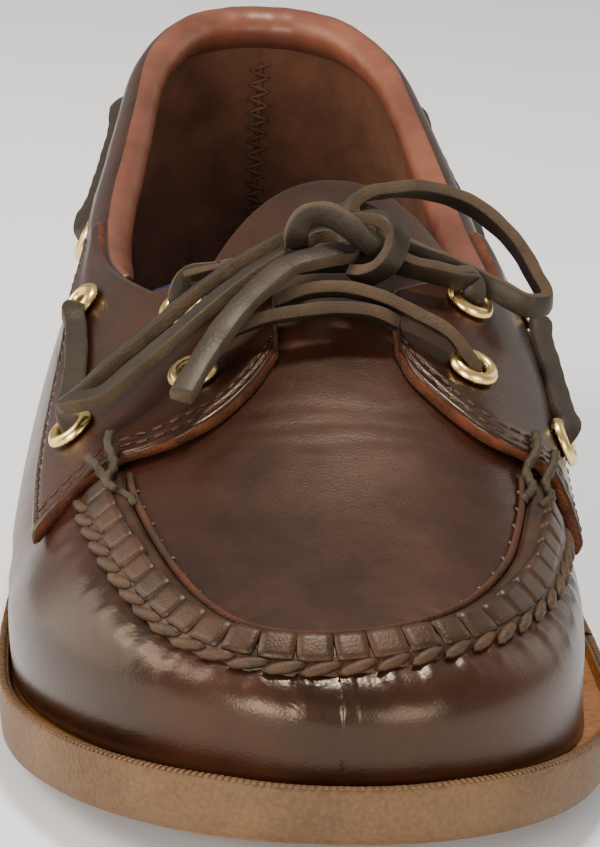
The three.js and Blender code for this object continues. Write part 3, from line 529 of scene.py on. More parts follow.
outer = outer + normals * height[..., None]
present = np.ones((len(stations) - 1, outer.shape[1] - 1), bool)
behind = stations[1:] <= THROAT_REAR + 1e-6
present[behind, split_row:split_row + 2 * TOP_ROWS] = False

EYELETS = {
    # side of the shoe, distance from the heel, height, on a flap
    "front_lower_lateral": (-1, 201, 58.6, True), "front_upper_lateral": (-1, 179.5, 64.6, True),
    "front_lower_medial": (1, 200, 60.5, True), "front_upper_medial": (1, 179, 67, True),
    "side_1_lateral": (-1, 198.5, 47.5, True), "side_2_lateral": (-1, 155, 58.8, True),
    "side_3_lateral": (-1, 104, 60.5, False), "side_4_lateral": (-1, 35, 76.5, False),
    "side_1_medial": (1, 195, 46.5, True), "side_2_medial": (1, 154, 58.8, True),
    "side_3_medial": (1, 104, 60.8, False), "side_4_medial": (1, 34, 77.5, False),
}
FLAP_COVER = 3.15
PUNCH_RADIUS, PUNCH_DEPTH = 0.0029, 0.016


def leather_face(side, s, z, on_flap):
    angle = angle_at_z(s, side, z)
    at, above, ahead = (on_last(np.array(q), side, np.array(w), -FLAP_COVER if on_flap else 0)
                        for q, w in ((s, angle), (s, angle + 0.04), (s + 2, angle)))
    face = unit(np.cross(above - at, ahead - at))
    return at, face if face[2] + face[0] * side > 0 else -face


eyelet_at = {name: leather_face(*eyelet) for name, eyelet in EYELETS.items()}


def punch(piece, names):
    cutter = bmesh.new()
    for name in names:
        at, face = eyelet_at[name]
        turn = Vector((0, 0, 1)).rotation_difference(Vector(face)).to_matrix().to_4x4()
        bmesh.ops.create_cone(cutter, cap_ends=True, segments=24, radius1=PUNCH_RADIUS, radius2=PUNCH_RADIUS,
                              depth=PUNCH_DEPTH, matrix=Matrix.Translation(Vector(at) * 0.001) @ turn)
    mesh = bpy.data.meshes.new("punches")
    cutter.to_mesh(mesh)
    cutter.free()
    tool = add("punches", mesh)
    cut = piece.modifiers.new("punch", "BOOLEAN")
    cut.solver = "EXACT"
    cut.operation = "DIFFERENCE"
    cut.object = tool
    settle(piece)
    bpy.data.objects.remove(tool)


def settle(piece):
    bpy.context.view_layer.update()
    old = piece.data
    piece.data = bpy.data.meshes.new_from_object(piece.evaluated_get(bpy.context.evaluated_depsgraph_get()))
    piece.modifiers.clear()
    bpy.data.meshes.remove(old)


oiled_leather = hide("oiled_leather", (26, 12, 7), (54, 26, 15), 0.29, 1100.0, 30.0, 0.12, specular=0.5)
suede_lining = hide("suede_lining", (72, 43, 29), (108, 69, 48), 0.95, 2600.0, 70.0, 0.6)
upper = two_skins("upper_leather", outer, inner, [oiled_leather, suede_lining], present)
punch(upper, EYELETS)
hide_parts("upper")

# Saddle flaps
# Two thick straps of the same leather, one on each side, cut square so their front edges show raw
# orange fibre. Each is sewn down with a double row near its edge and carries four of the eyelets.
FLAP_REAR = 118
FLAPS = {  # front edge as share up, distance and x, and lower edge as distance and height
    -1: (np.array([(0, 226, -49.2), (0.12, 222.8, -44.6), (0.28, 218.8, -39.2), (0.4, 217.4, -35),
                   (0.55, 218.5, -29.6), (0.7, 217.6, -23.5), (0.84, 212.5, -16), (0.93, 205.3, -10.6),
                   (1, 198, -7)], float),
         np.array([(118, 62.5), (128, 61), (142, 56.5), (160, 51.5), (175, 46), (198, 40), (226, 36.5)], float)),
    1: (np.array([(0, 223, 44.4), (0.12, 217, 42.6), (0.28, 213, 39.6), (0.4, 214.5, 36.4), (0.55, 216.8, 31),
                  (0.7, 215.2, 25.5), (0.84, 209.5, 19.5), (0.93, 204, 15.8), (1, 198, 14)], float),
        np.array([(118, 62.5), (128, 61), (142, 56.5), (160, 51), (175, 45.5), (198, 38.5), (223, 35)], float)),
}


def flap_grid(side, u, v, inset):
    front, low = FLAPS[side]
    tip = front[0, 1]
    low_s = FLAP_REAR + (tip - FLAP_REAR) * u
    top_s = FLAP_REAR + (THROAT_FRONT - FLAP_REAR) * u
    low_angle = angle_at_z(low_s, side, along(low, 1, low_s))
    top_angle = np.where(top_s <= THROAT_REAR, opening_angle(top_s, side), angle_at_x(top_s, side, THROAT_X[side]))
    front_s = along(front, 1, v)
    front_angle = angle_at_x(front_s, side, along(front, 2, v))
    end_low = angle_at_z(tip, side, along(low, 1, tip))
    end_top = angle_at_x(THROAT_FRONT, side, THROAT_X[side])
    pull = u**4
    s = low_s + (top_s - low_s) * v + pull * (front_s - tip - (THROAT_FRONT - tip) * v)
    angle = low_angle + (top_angle - low_angle) * v + pull * (front_angle - end_low - (end_top - end_low) * v)
    return on_last(s, side, angle, inset)


def repeat_tree(form):
    tree = bpy.data.node_groups.new("row_of_" + form, "GeometryNodeTree")
    socket = tree.interface.new_socket
    socket("Geometry", in_out="INPUT", socket_type="NodeSocketGeometry")
    for name in ("Length", "Width", "Height", "Unevenness"):
        socket(name, in_out="INPUT", socket_type="NodeSocketFloat")
    socket("Seed", in_out="INPUT", socket_type="NodeSocketInt")
    socket("Material", in_out="INPUT", socket_type="NodeSocketMaterial")
    socket("Geometry", in_out="OUTPUT", socket_type="NodeSocketGeometry")
    given = node(tree, "NodeGroupInput").outputs
    if form == "beads":
        shape = node(tree, "GeometryNodeMeshUVSphere", Segments=8, Rings=5, Radius=0.5).outputs["Mesh"]
    else:
        block = node(tree, "GeometryNodeMeshCube", Size=(1.0, 1.0, 1.0))
        shape = node(tree, "GeometryNodeSubdivisionSurface", Mesh=block.outputs["Mesh"], Level=2,
                     Edge_Crease=0.62).outputs["Mesh"]
    vector = {"data_type": "FLOAT_VECTOR"}
    run, face = (node(tree, "GeometryNodeInputNamedAttribute", vector, Name=name).outputs[0]
                 for name in ("run", "face"))
    laid = node(tree, "FunctionNodeAlignRotationToVector", {"axis": "X"}, Vector=run)
    stood = node(tree, "FunctionNodeAlignRotationToVector", {"axis": "Z", "pivot_axis": "X"},
                 Rotation=laid.outputs[0], Vector=face)
    size = node(tree, "ShaderNodeCombineXYZ", X=given["Length"], Y=given["Width"], Z=given["Height"])
    luck = node(tree, "FunctionNodeRandomValue", vector, i0=(-1.0, -1.0, -1.0), i1=(1.0, 1.0, 1.0),
                Seed=given["Seed"])
    change = node(tree, "ShaderNodeVectorMath", {"operation": "SCALE"}, i0=luck.outputs[0], Scale=given["Unevenness"])
    share = node(tree, "ShaderNodeVectorMath", {"operation": "ADD"}, i0=change.outputs[0], i1=(1.0, 1.0, 1.0))
    final = node(tree, "ShaderNodeVectorMath", {"operation": "MULTIPLY"}, i0=size.outputs[0], i1=share.outputs[0])
    placed = node(tree, "GeometryNodeInstanceOnPoints", Points=given["Geometry"], Instance=shape,
                  Rotation=stood.outputs[0], Scale=final.outputs[0])
    real = node(tree, "GeometryNodeRealizeInstances", Geometry=placed.outputs[0])
    painted = node(tree, "GeometryNodeSetMaterial", Geometry=real.outputs[0], Material=given["Material"])
    node(tree, "NodeGroupOutput", Geometry=painted.outputs[0])
    return tree


rows_of = {form: repeat_tree(form) for form in ("beads", "blocks")}


def repeated(name, at, run, face, size, finish, unevenness=0.06, seed=1, form="beads"):
    mesh = bpy.data.meshes.new(name)
    mesh.from_pydata((np.asarray(at) * 0.001).tolist(), [], [])
    for key, value in (("run", run), ("face", face)):
        layer = mesh.attributes.new(key, "FLOAT_VECTOR", "POINT")
        layer.data.foreach_set("vector", np.asarray(value, np.float32).ravel())
    piece = add(name, mesh)
    tree = rows_of[form]
    row = piece.modifiers.new("row", "NODES")
    row.node_group = tree
    wanted = {"Length": size[0] / 1000, "Width": size[1] / 1000, "Height": size[2] / 1000,
              "Unevenness": unevenness, "Seed": seed, "Material": finish}
    for item in tree.interface.items_tree:
        if item.in_out == "INPUT" and item.name in wanted:
            row[item.identifier] = wanted[item.name]
    settle(piece)
    piece.data.shade_smooth()
    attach(piece, "root")
    return piece


def spaced(path, normal, pitch, skip=0.5):
    length = length_along(path)
    at = np.arange(skip * pitch, length[-1] - skip * pitch * 0.5, pitch)
    run = unit(np.gradient(path, axis=0))
    point, run, face = (
        np.column_stack([np.interp(at, length, q[:, k]) for k in range(3)]) for q in (path, run, normal))
    return point, unit(run), unit(face)


raw_edge = hide("raw_edge", (56, 24, 13), (112, 58, 33), 0.9, 1500.0, 220.0, 0.9)
waxed_thread = hide("waxed_thread", (32, 15, 10), (56, 29, 20), 0.5, 2600.0, 300.0, 0.4, coat=0.1)
STITCH, STITCH_PITCH = (2.5, 0.75, 0.6), 3.3
FRONT_ROWS, LOWER_ROW = (2.7, 5.4), 2.6
for side, word in ((-1, "lateral"), (1, "medial")):
    u = 1 - (1 - np.linspace(0, 1, 110)) ** 1.35
    v = 0.5 - 0.5 * np.cos(np.pi * np.linspace(0, 1, 64))
    uu, vv = np.meshgrid(u, v, indexing="ij")
    cover, under = flap_grid(side, uu, vv, -FLAP_COVER), flap_grid(side, uu, vv, -0.45)
    face = grid_normals(cover, (side, 0, 0.3))
    face *= np.where((face[..., 2] + face[..., 0] * side)[..., None] < 0, -1, 1)
    step_u = np.linalg.norm(np.diff(cover, axis=0), axis=-1)
    step_v = np.linalg.norm(np.diff(cover, axis=1), axis=-1)
    from_front = np.pad(np.cumsum(step_u[::-1], axis=0)[::-1], ((0, 1), (0, 0)))
    from_rear = np.pad(np.cumsum(step_u, axis=0), ((1, 0), (0, 0)))
    from_low = np.pad(np.cumsum(step_v, axis=1), ((0, 0), (1, 0)))
    from_top = np.pad(np.cumsum(step_v[:, ::-1], axis=1)[:, ::-1], ((0, 0), (0, 1)))
    sink = 0.55 * np.clip(1 - from_front / 0.9, 0, 1) ** 2 + 1.3 * np.clip(1 - from_low / 2.2, 0, 1) ** 2
    sink += 1.5 * np.clip(1 - from_rear / 5, 0, 1) ** 2 + 0.8 * np.clip(1 - from_top / 1.6, 0, 1) ** 2
    edge_wave = 0.10 * np.sin(vv * 61) * np.sin(vv * 23 + 1) * np.clip(1 - from_front / 3, 0, 1)
    for distance, depth in zip(FRONT_ROWS, (0.30, 0.24)):
        sink += depth * bump_at(from_front, distance, 0.55) * (from_low > 2.4)
    sink += 0.26 * bump_at(from_low, LOWER_ROW, 0.55) * (from_front > 2.4)
    sway = 0.2 * np.sin(uu * 9 + vv * 5) * np.sin(vv * 7 + 2)
    sink += sway * np.clip(from_front / 8, 0, 1) * np.clip(from_low / 8, 0, 1)
    sink = np.minimum(sink, 2.2)
    shape = cover - face * (sink + edge_wave)[..., None]
    flap = two_skins("saddle_flap_" + word, shape, under, [oiled_leather, suede_lining, raw_edge], edge_slot=2)
    punch(flap, [n for n, eyelet in EYELETS.items() if eyelet[3] and eyelet[0] == side])
    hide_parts("saddle_" + word)
    rows = [[(np.argmin(np.abs(from_front[:, k] - distance)), k) for k in range(len(v))
             if from_low[-1, k] > LOWER_ROW] for distance in FRONT_ROWS]
    rows.append([(i, np.argmin(np.abs(from_low[i] - LOWER_ROW))) for i in range(4, len(u))
                 if from_front[i, 2] > LOWER_ROW])
    got = []
    for line in rows:
        i, k = np.array(line).T
        smooth = smooth_path(np.column_stack([shape[i, k], face[i, k]]), 0.6)
        got.append(spaced(smooth[:, :3], smooth[:, 3:6], STITCH_PITCH))
    at, run, out = (np.concatenate([part[q] for part in got]) for q in range(3))
    repeated("saddle_stitches_" + word, at + out * 0.12, run, out, STITCH, waxed_thread,
             seed=3)

# Moccasin seam
# The plug and the wall are drawn together over a cord-like ridge, and the gathered leather stands
# in square puffed tabs, with a thick chain of waxed thread along the ridge's lower side.
seam_hide = hide("seam_hide", (27, 15, 9), (60, 36, 22), 0.44, 1200.0, 90.0, 0.25, coat=0.04, specular=0.4)
worn_edge = hide("worn_edge", (38, 18, 11), (74, 38, 23), 0.8, 1500.0, 150.0, 0.8)
chain_thread = hide("chain_thread", (34, 20, 12), (72, 46, 28), 0.55, 2200.0, 260.0, 0.5, coat=0.05)
pale_thread = hide("pale_thread", (70, 50, 36), (112, 88, 66), 0.75, 2400.0, 200.0, 0.4)
profile = [(-3.6, 0.05), (-3.3, 0.9), (-2.4, 1.45), (-0.8, 1.9), (1.4, 1.9), (3.2, 1.5), (4.4, 0.9), (4.9, 0.05)]
profile += [(across, -0.8) for across, _ in profile[::-1]]
ridge = np.stack([seam_line(1.2, across, lift)[0] for across, lift in profile], axis=1)
faces = ring_faces(len(ridge), len(profile), True)
slots = ([1] + [0] * (len(profile) - 1)) * (len(ridge) - 1) + [0, 0]
seam_ridge = make_piece("seam_ridge", ridge.reshape(-1, 3), faces, [seam_hide, raw_edge], slots)
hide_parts("moc_seam")
at, run, face = spaced(*seam_line(0.5, 1.0, 1.45), TAB_PITCH)
face = unit(face + 0.28 * np.cross(run, face))
repeated("seam_tabs", at, run, face, (5.95, 5.2, 2.3), seam_hide, 0.1, 5, "blocks")
at, run, face = spaced(*seam_line(0.5, 4.35, 1.0), TAB_PITCH)
lean = unit(run + 0.3 * np.cross(face, run))
repeated("seam_chain", at, lean, face, (7.6, 2.3, 2.0), chain_thread, 0.08, 7)
for name, place_out, start, lean_by, size, thread, unevenness, seed in (
    ("plug_stitches", (-4.9, 0.3), 1.0, 0.6, (1.5, 0.8, 0.6), pale_thread, 0.3, 9),
    ("gathers_a", (7.2, -0.05), 0.6, 0.25, (4.6, 1.0, 0.5), oiled_leather, 0.35, 15),
    ("gathers_b", (6.7, -0.05), 1.05, -0.3, (4.6, 1.0, 0.5), oiled_leather, 0.35, 16),
):
    at, run, face = spaced(*seam_line(0.5, *place_out), TAB_PITCH, start)
    lean = unit(np.cross(face, run) + lean_by * run)
    repeated(name, at, lean, face, size, thread, unevenness, seed)
profile = [(-5.0, -0.2), (-4.9, 0.75), (-4.55, 1.1), (-4.0, 1.1), (-3.6, 0.2)]
cut = np.stack([seam_line(1.2, across, lift)[0] for across, lift in profile], axis=1)
plug_edge = make_piece("plug_edge", cut.reshape(-1, 3), ring_faces(len(cut), len(profile), True), [worn_edge])

# Tongue
# A flap of softer leather sewn under the plug, lying back over the opening, with its rounded end
# leaning to the inner side. Its skin side is smooth and its cut edge is paler.
TONGUE_FRONT, TONGUE_END, TONGUE_ROUND, TONGUE_CENTRE, TONGUE_HALF = 190, 138, 24, 8, 27
TONGUE_TOP, TONGUE_LOW = WALL + 0.6, WALL + 2.4
aa, vv = np.meshgrid(np.linspace(0, 1, 70), np.linspace(-1, 1, 60), indexing="ij")
end = TONGUE_END + TONGUE_ROUND * np.abs(vv) ** 2.4
s = TONGUE_FRONT + (end - TONGUE_FRONT) * aa
lift = 0.5 * np.sin(vv * 3.1 + 0.6) * aa**2 + 0.35 * bump_at(aa, 0.55, 0.12) * np.cos(vv * 2)
skins = [on_plan(TONGUE_CENTRE + TONGUE_HALF * vv, s, inset) + np.stack([0 * aa, 0 * aa, lift], -1)
         for inset in (TONGUE_TOP, TONGUE_LOW)]
tongue = two_skins("tongue_leather", *skins, [oiled_leather, suede_lining, raw_edge], edge_slot=2)
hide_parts("tongue")

# Collar
# A soft padded roll covers the cut top edge of the quarters, from flap to flap round the heel. It
# is the brown leather outside and a thinner, redder one over the top and inside, sewn through.
collar_leather = hide("collar_leather", (86, 44, 31), (124, 72, 52), 0.44, 1300.0, 40.0, 0.16, coat=0.15)
ROUND_HEEL = 30
heel_s = ROUND_HEEL - (ROUND_HEEL - LAST_HEEL) * np.sin(np.pi / 2 * np.linspace(0, 1, 40))
roll_s = np.concatenate([np.linspace(WAIST, ROUND_HEEL, 75), heel_s[1:]])
paths = []
for side in (-1, 1):
    z = along(TOP_LINE, 1, roll_s)
    angle = angle_at_z(roll_s, side, z)
    edge = on_last(roll_s, side, angle)
    lower = on_last(roll_s, side, np.maximum(angle - 0.06, 0))
    inside = on_last(roll_s, side, angle, WALL)
    paths.append([edge, unit(edge - lower), unit(edge - inside)])
top_edge, up_way, out_way = (np.concatenate([paths[0][k][:-1], paths[1][k][::-1]]) for k in range(3))
out_way = unit(out_way)
up_way = unit(up_way - out_way * (up_way * out_way).sum(-1, keepdims=True))
for _ in range(6):
    for way in (up_way, out_way):
        way[1:-1] = unit(way[:-2] + 2 * way[1:-1] + way[2:])
roll = [(0.15, -6.2), (0.9, -5.6), (1.35, -3.6), (1.2, -1.3), (0.3, 0.5), (-1.6, 1.4), (-3.8, 1.5), (-5.8, 0.9),
        (-7.2, -0.6), (-7.6, -2.6), (-7.0, -5), (-5.4, -8), (-3.4, -10.4), (-2.1, -10.8), (-1, -8), (-0.5, -6.4)]
count = np.arange(len(top_edge))[:, None]
taper = np.clip(np.minimum(count, count[::-1]) / 8, 0.55, 1)
wave = 0.12 * np.sin(count * 0.7) * np.sin(count * 0.23)
rings = [top_edge + out_way * o * taper + up_way * (h + wave) for o, h in roll]
faces = ring_faces(len(top_edge), len(roll), True)
slots = [1 if 4 <= i % len(roll) < 12 else 0 for i in range(len(faces))]
collar = make_piece("collar_roll", np.stack(rings, 1).reshape(-1, 3), faces, [oiled_leather, collar_leather], slots)
line = top_edge + out_way * 0.55 - up_way * 14.5
at, run, face = spaced(line, out_way, 3.4)
seat = np.minimum(np.maximum(HEEL_Y - at[:, 1], LAST_HEEL + 0.4), CORNER)
side_of = np.where(at[:, 0] < 0, -1, 1)
at = np.array([on_last(s, side, angle_at_z(s, side, z), -0.38) for s, side, z in zip(seat, side_of, at[:, 2])])
keep = np.abs(at[:, 0]) > 9  # the heel strip covers the rest
repeated("collar_stitches", at[keep], run[keep], face[keep], STITCH, waxed_thread, seed=4)

# Heel seam
# The quarters meet at the back, where a strip of leather covers the seam outside. Inside, the two
# edges are laced together with dull thread in a zigzag, left open to the eye in an unlined shoe.
rr, ww = np.meshgrid(np.linspace(0, 1, 40), np.linspace(-1, 1, 15), indexing="ij")
STRIP_FOOT, STRIP_RISE, STRIP_HALF, STRIP_TAPER = 27, 64, 9, 4
half = STRIP_HALF - STRIP_TAPER * rr
z = STRIP_FOOT + STRIP_RISE * rr


def heel_strip(lift):
    near = np.full(rr.shape, LAST_HEEL - lift)
    far = near + 20
    for _ in range(40):
        trial = (near + far) / 2
        q = np.clip((z - widest_z(trial)) / (crown_z(trial, -lift) - widest_z(trial)), 0, 1)
        narrow = np.where(z > widest_z(trial), np.sqrt(1 - q**2), 1)
        short = np.abs(edge_x(trial, 1, -lift)) * narrow < np.abs(ww) * half
        near, far = np.where(short, trial, near), np.where(short, far, trial)
    return place(ww * half, far, z)


thick = 1.7 - 1.8 * np.clip(np.abs(ww) - 0.75, 0, 1) - 0.25 * bump_at(np.abs(ww), 0.72, 0.08)
strip_low = heel_strip(0.3)
strip_top = strip_low + (heel_strip(1.7) - strip_low) * (thick / 1.4)[..., None]
strip = two_skins("heel_strip", strip_top, strip_low, [oiled_leather, suede_lining, worn_edge], edge_slot=2)
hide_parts("back_strip")
got = [spaced(strip_top[:, k], np.tile([0, 1.0, 0], (len(rr), 1)), STITCH_PITCH) for k in (2, 12)]
at, run, back = (np.concatenate([part[q] for part in got]) for q in range(3))
repeated("heel_strip_stitches", at + [0, 0.1, 0], run, back, STITCH, waxed_thread, seed=6)
dull_thread = hide("dull_thread", (62, 42, 30), (98, 70, 50), 0.8, 2400.0, 120.0, 0.4)
seam_z = np.arange(34, 80, 3.4)
lean_in = LEAN_BACK * ((seam_z - LEAN_FROM) / LEAN_RISE) ** 1.5
inner_y = HEEL_Y - LAST_HEEL - WALL - 0.5 - lean_in
zig = np.array([(x, y - 2.4 * 0.12, z + rise) for y, z in zip(inner_y, seam_z)
                for x, rise in ((-2.4, 0), (2.4, 1.7))])
facing = np.tile([0, -1.0, 0], (len(zig) - 1, 1))
repeated("heel_zigzag", (zig[:-1] + zig[1:]) / 2, unit(zig[1:] - zig[:-1]), facing, (5.6, 0.8, 0.7),
         dull_thread, 0.08, 11)
count = len(seam_z)
repeated("heel_inner_seam", np.column_stack([seam_z * 0, HEEL_Y - 5.2 - lean_in, seam_z]),
         np.tile([0, 0, 1.0], (count, 1)), facing[:count], (4.6, 1.6, 1.2), raw_edge, 0.05, 12)

# Eyelets
# Brass rings spun from thin sheet: a rolled rim that stands on the leather and a barrel pushed
# through it. Four run along each side for the lace, and two more sit in each flap's front.
brass, tree, place_node = blank_finish("polished_brass")
tarnish = noise(tree, place_node, 420.0, 5.0, 0.65)
tone = tint(tree, tarnish, colour(222, 178, 98), colour(252, 226, 160))
relief = node(tree, "ShaderNodeBump", Strength=0.12, Distance=0.0002, Height=noise(tree, place_node, 1800.0, 3.0))
surface(tree, Base_Color=tone, Roughness=spread(tree, tarnish, 0.18, 0.36, first=3), Metallic=1.0,
        Normal=relief.outputs[0])
RIM = [(2.25, -4.6), (2.2, -1), (2.25, 0.9), (2.5, 1.45), (2.95, 1.85), (3.5, 1.98), (4.05, 1.8), (4.5, 1.35),
       (4.78, 0.8), (4.8, 0.4), (4.6, 0.25), (3.6, 0.3), (2.62, 0.2), (2.6, -4.6)]
theta = np.linspace(0, 2 * np.pi, 40, endpoint=False)
n, m = len(theta), len(RIM)
faces = [(i * m + j, (i + 1) % n * m + j, (i + 1) % n * m + (j + 1) % m, i * m + (j + 1) % m)
         for i in range(n) for j in range(m)]
for name, (*_, on_flap) in EYELETS.items():
    at, face = eyelet_at[name]
    turn = np.array(Vector((0, 0, 1)).rotation_difference(Vector(face)).to_matrix())
    depth = 0 if on_flap else FLAP_COVER
    ring = np.array([[(r * np.cos(t), r * np.sin(t), h + depth * (h < 0) + 0.2) for r, h in RIM] for t in theta])
    points = ring.reshape(-1, 3) @ turn.T + at
    eyelet = make_piece("eyelet_ring_" + name, points, faces, [brass])
    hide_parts("eyelet_" + name)

# Rawhide lace: the side runs and the throat
# One lace goes right round the shoe. It shows between two pairs of eyelets on each side, runs
# hidden in the collar between them, and crosses over the tongue in front, below the knot.
KNOT_STRAP = [
    (-3.5, 181.5, 80.4), (-3.6, 182.5, 83.7), (-2.4, 182.5, 86), (0.8, 183, 87.2), (4.4, 184.2, 86),
    (8.1, 185.4, 83.6), (11.4, 185.8, 81.3), (13.2, 184.6, 78.8),
]
KNOT_WRAP = [
    (7.6, 181.5, 86), (10, 184, 87), (12.8, 186.5, 86.8), (14.4, 188.4, 84.9), (14, 189.6, 82.2),
    (12.4, 189.8, 79.4), (9.6, 188.6, 77.2), (7.2, 185.6, 76.4),
]
BARS = {
    "lower": ("front_lower_lateral", -1, [
        (-18.8, 201.4, 67.3), (-12.5, 198.2, 70.1), (-3.4, 196.6, 71.9), (4, 195.6, 72.4), (10.4, 195.4, 71.7),
        (14.4, 195.2, 69.8)]),
    "upper": ("front_lower_medial", 1, [
        (24.2, 200.6, 69.3), (18.4, 197.4, 71.9), (11.4, 193.4, 74.2), (4.2, 191, 75), (-2.2, 190.4, 74.1),
        (-7.4, 189.8, 71.6)]),
}


def laced(name, route, tail, step, first_up, ends_narrow):
    path = np.concatenate([in_frame(route), np.array(tail, float).reshape(-1, 3)])
    return lace(name, smooth_path(path, step), first_up, ends_narrow)[0]


for word, side in (("lateral", -1), ("medial", 1)):
    for where, a_end, b_end in (("front", "side_1_", "side_2_"), ("rear", "side_3_", "side_4_")):
        (_, s0, z0, flap), (_, s1, z1, _) = EYELETS[a_end + word], EYELETS[b_end + word]
        at0, n0 = eyelet_at[a_end + word]
        at1, n1 = eyelet_at[b_end + word]
        ahead = unit(at1 - at0)
        route = [at0 - n0 * 3.0, at0 - n0 * 0.4 + ahead * 0.3, at0 + n0 * 1.2 + ahead * 1.7]
        for k in range(7):
            t = 0.08 + 0.84 * k / 6
            here, up_here = leather_face(side, s0 + (s1 - s0) * t, z0 + (z1 - z0) * t, flap)
            arch = 0.9 * max(abs(2 * t - 1) - 0.5, 0) / 0.5
            route.append(here + up_here * (1.75 + arch))
        route += [at1 + n1 * 1.2 - ahead * 1.7, at1 - n1 * 0.4 - ahead * 0.3, at1 - n1 * 3.0]
        run_piece = laced(f"side_lace_{where}_{word}_strip", route, [], 1.2,
                          tuple(unit(at0 - at1) + np.array([0, 0, 0.8])), (0.8, 0.8))
        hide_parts(f"side_lace_{where}_{word}")
for name, (eye, side, route) in BARS.items():
    at, face = eyelet_at[eye]
    start = [at - face * 3.2, at + face * 1.2, at + face * 3.4 + np.array([-2.2 * side, 0.8, 0])]
    bar = laced("throat_lace_" + name, start, route, 1.2, (side, 0, 0.2), (0.8, 1))
    if name == "upper":
        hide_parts("lace_bars")
for word, bow in (("lateral", BOW_LATERAL), ("medial", BOW_MEDIAL)):
    at, face = eyelet_at["front_upper_" + word]
    start = [at - face * 3.2, at + face * 0.6, at + face * 2.6]
    laced("lace_root_" + word, start, bow[:2], 1.0, (0, -1, 0), (0.8, 1))
lace("knot_strap", smooth_path(KNOT_STRAP, 1.0), (0, -1, 0.2))
lace("knot_wrap", smooth_path(KNOT_WRAP, 1.0), (0, 0, 1))

# Waxed thread ends
# The seam's thread comes out beside each flap's front corner and is tied off there. Its short
# stiff twisted ends lie over the seam and the plug.
tie_thread = hide("tie_thread", (26, 22, 16), (58, 48, 36), 0.6, 2200.0, 260.0, 0.5)
TIES = {
    "outer_low": [(-41.5, 219, 50.6), (-40.2, 222, 50.2), (-38.2, 225, 48), (-36.4, 228.6, 47.4),
                  (-34.2, 231.4, 47.2), (-33.6, 233.6, 46.6)],
    "outer_high": [(-37.6, 215.4, 54), (-38, 218.8, 53), (-37, 222.6, 50.2), (-38.4, 226.2, 48.6),
                   (-36.8, 229.4, 47.8)],
    "inner_low": [(42.2, 213.6, 51.8), (41.4, 217.6, 50.6), (39.6, 221.2, 48.4), (40.2, 225.6, 47.2),
                  (38, 229.2, 46.6)],
    "inner_high": [(38.8, 211.4, 54.6), (38.6, 216.2, 53.2), (36.2, 220.6, 50.4), (36.8, 225.2, 48.8),
                   (34.6, 229.8, 47.8)],
}
for name, route in TIES.items():
    p = in_frame(smooth_path(route, 0.6))
    t = unit(np.gradient(p, axis=0))
    side_way = unit(np.cross(t, np.array([0, 0, 1.0])))
    up_line = np.cross(side_way, t)
    twist = np.arange(len(p)) * 0.8
    rings = []
    for q in np.linspace(0, 2 * np.pi, 10, endpoint=False):
        radius = 0.85 + 0.16 * np.cos(2 * (q + twist))
        rings.append(p + side_way * (radius * np.cos(q))[:, None] + up_line * (radius * np.sin(q))[:, None])
    points = np.stack(rings, 1).reshape(-1, 3)
    tie = make_piece("thread_tie_" + name, points, ring_faces(len(p), len(rings), True), [tie_thread])

# Insole
# A thin blue footbed of cushioned foam under close woven cloth, cut to the last's outline and
# lying loose on the sole, a little dished at its edge.
cloth, tree, place_node = blank_finish("blue_footbed_cloth")
warp, weft = (node(tree, "ShaderNodeTexWave", {"bands_direction": way}, Vector=place_node, Scale=420.0,
                   Distortion=0.6).outputs[1] for way in "XY")
weave = math_node(tree, "MULTIPLY", warp, weft)
both = math_node(tree, "MULTIPLY_ADD", weave, 0.4, noise(tree, place_node, 60.0, 4.0))
relief = node(tree, "ShaderNodeBump", Strength=0.5, Distance=0.0003, Height=weave)
surface(tree, Base_Color=tint(tree, both, colour(22, 56, 116), colour(50, 98, 168)), Roughness=0.88,
        Normal=relief.outputs[0], Sheen_Weight=0.3)
bed_s = LAST_HEEL + (LAST_TOE - LAST_HEEL) * (0.5 - 0.5 * np.cos(np.pi * np.linspace(0, 1, 90)))
ss, vv = np.meshgrid(bed_s, np.linspace(-1, 1, 31), indexing="ij")


def bed_grid(inset, height, dish):
    s = layer_s(ss, inset)
    edge = np.where(vv < 0, edge_x(s, -1, inset), edge_x(s, 1, inset))
    x = edge * np.abs(vv) + middle(s) * (1 - np.abs(vv))
    return np.stack([x, HEEL_Y - s, feather_z(s) + height + dish * np.abs(vv) ** 5], -1)


bed = two_skins("footbed", bed_grid(WALL + 1.4, 3.0, 1.4), bed_grid(WALL + 2, 0.1, 0.0), [cloth, cloth])
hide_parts("insole")

# Outsole
# One moulding of tan gum rubber with a pebbled side and a low rim round its top, toothed along the
# front half. Inside the rim is an amber channel for the upper, and the underside is finely siped.
SOLE_OUTLINE = np.array([
    (0, 36, 36.5), (40, 37.5, 38.5), (80, 42.5, 43.5), (115, 48, 47.5), (150, 52, 50.5), (180, 54.3, 53),
    (210, 55.9, 54), (240, 55, 53.5), (265, 52, 51.5), (296, 48.5, 48.5),
], float)
UNDERSIDE = np.array([
    (0, 1.6), (8, 0), (40, 0), (76, 0), (83, 7), (96, 6), (112, 2.2), (126, 0), (160, 0), (200, 0), (220, 0.7),
    (245, 3), (268, 5.9), (284, 8.3), (296, 10.2),
], float)
SOLE_LENGTH = 296
RIM_HEIGHT = 1.4
SOLE_ROUND = (66, 2.25)
sole_s = SOLE_LENGTH / 2 * (1 - np.cos(np.pi * np.linspace(0, 1, 200)))
sole_s = np.unique(np.round(np.concatenate([sole_s, UNDERSIDE[:, 0]]), 3))


def under_z(s):
    return np.interp(s, UNDERSIDE[:, 0], UNDERSIDE[:, 1])


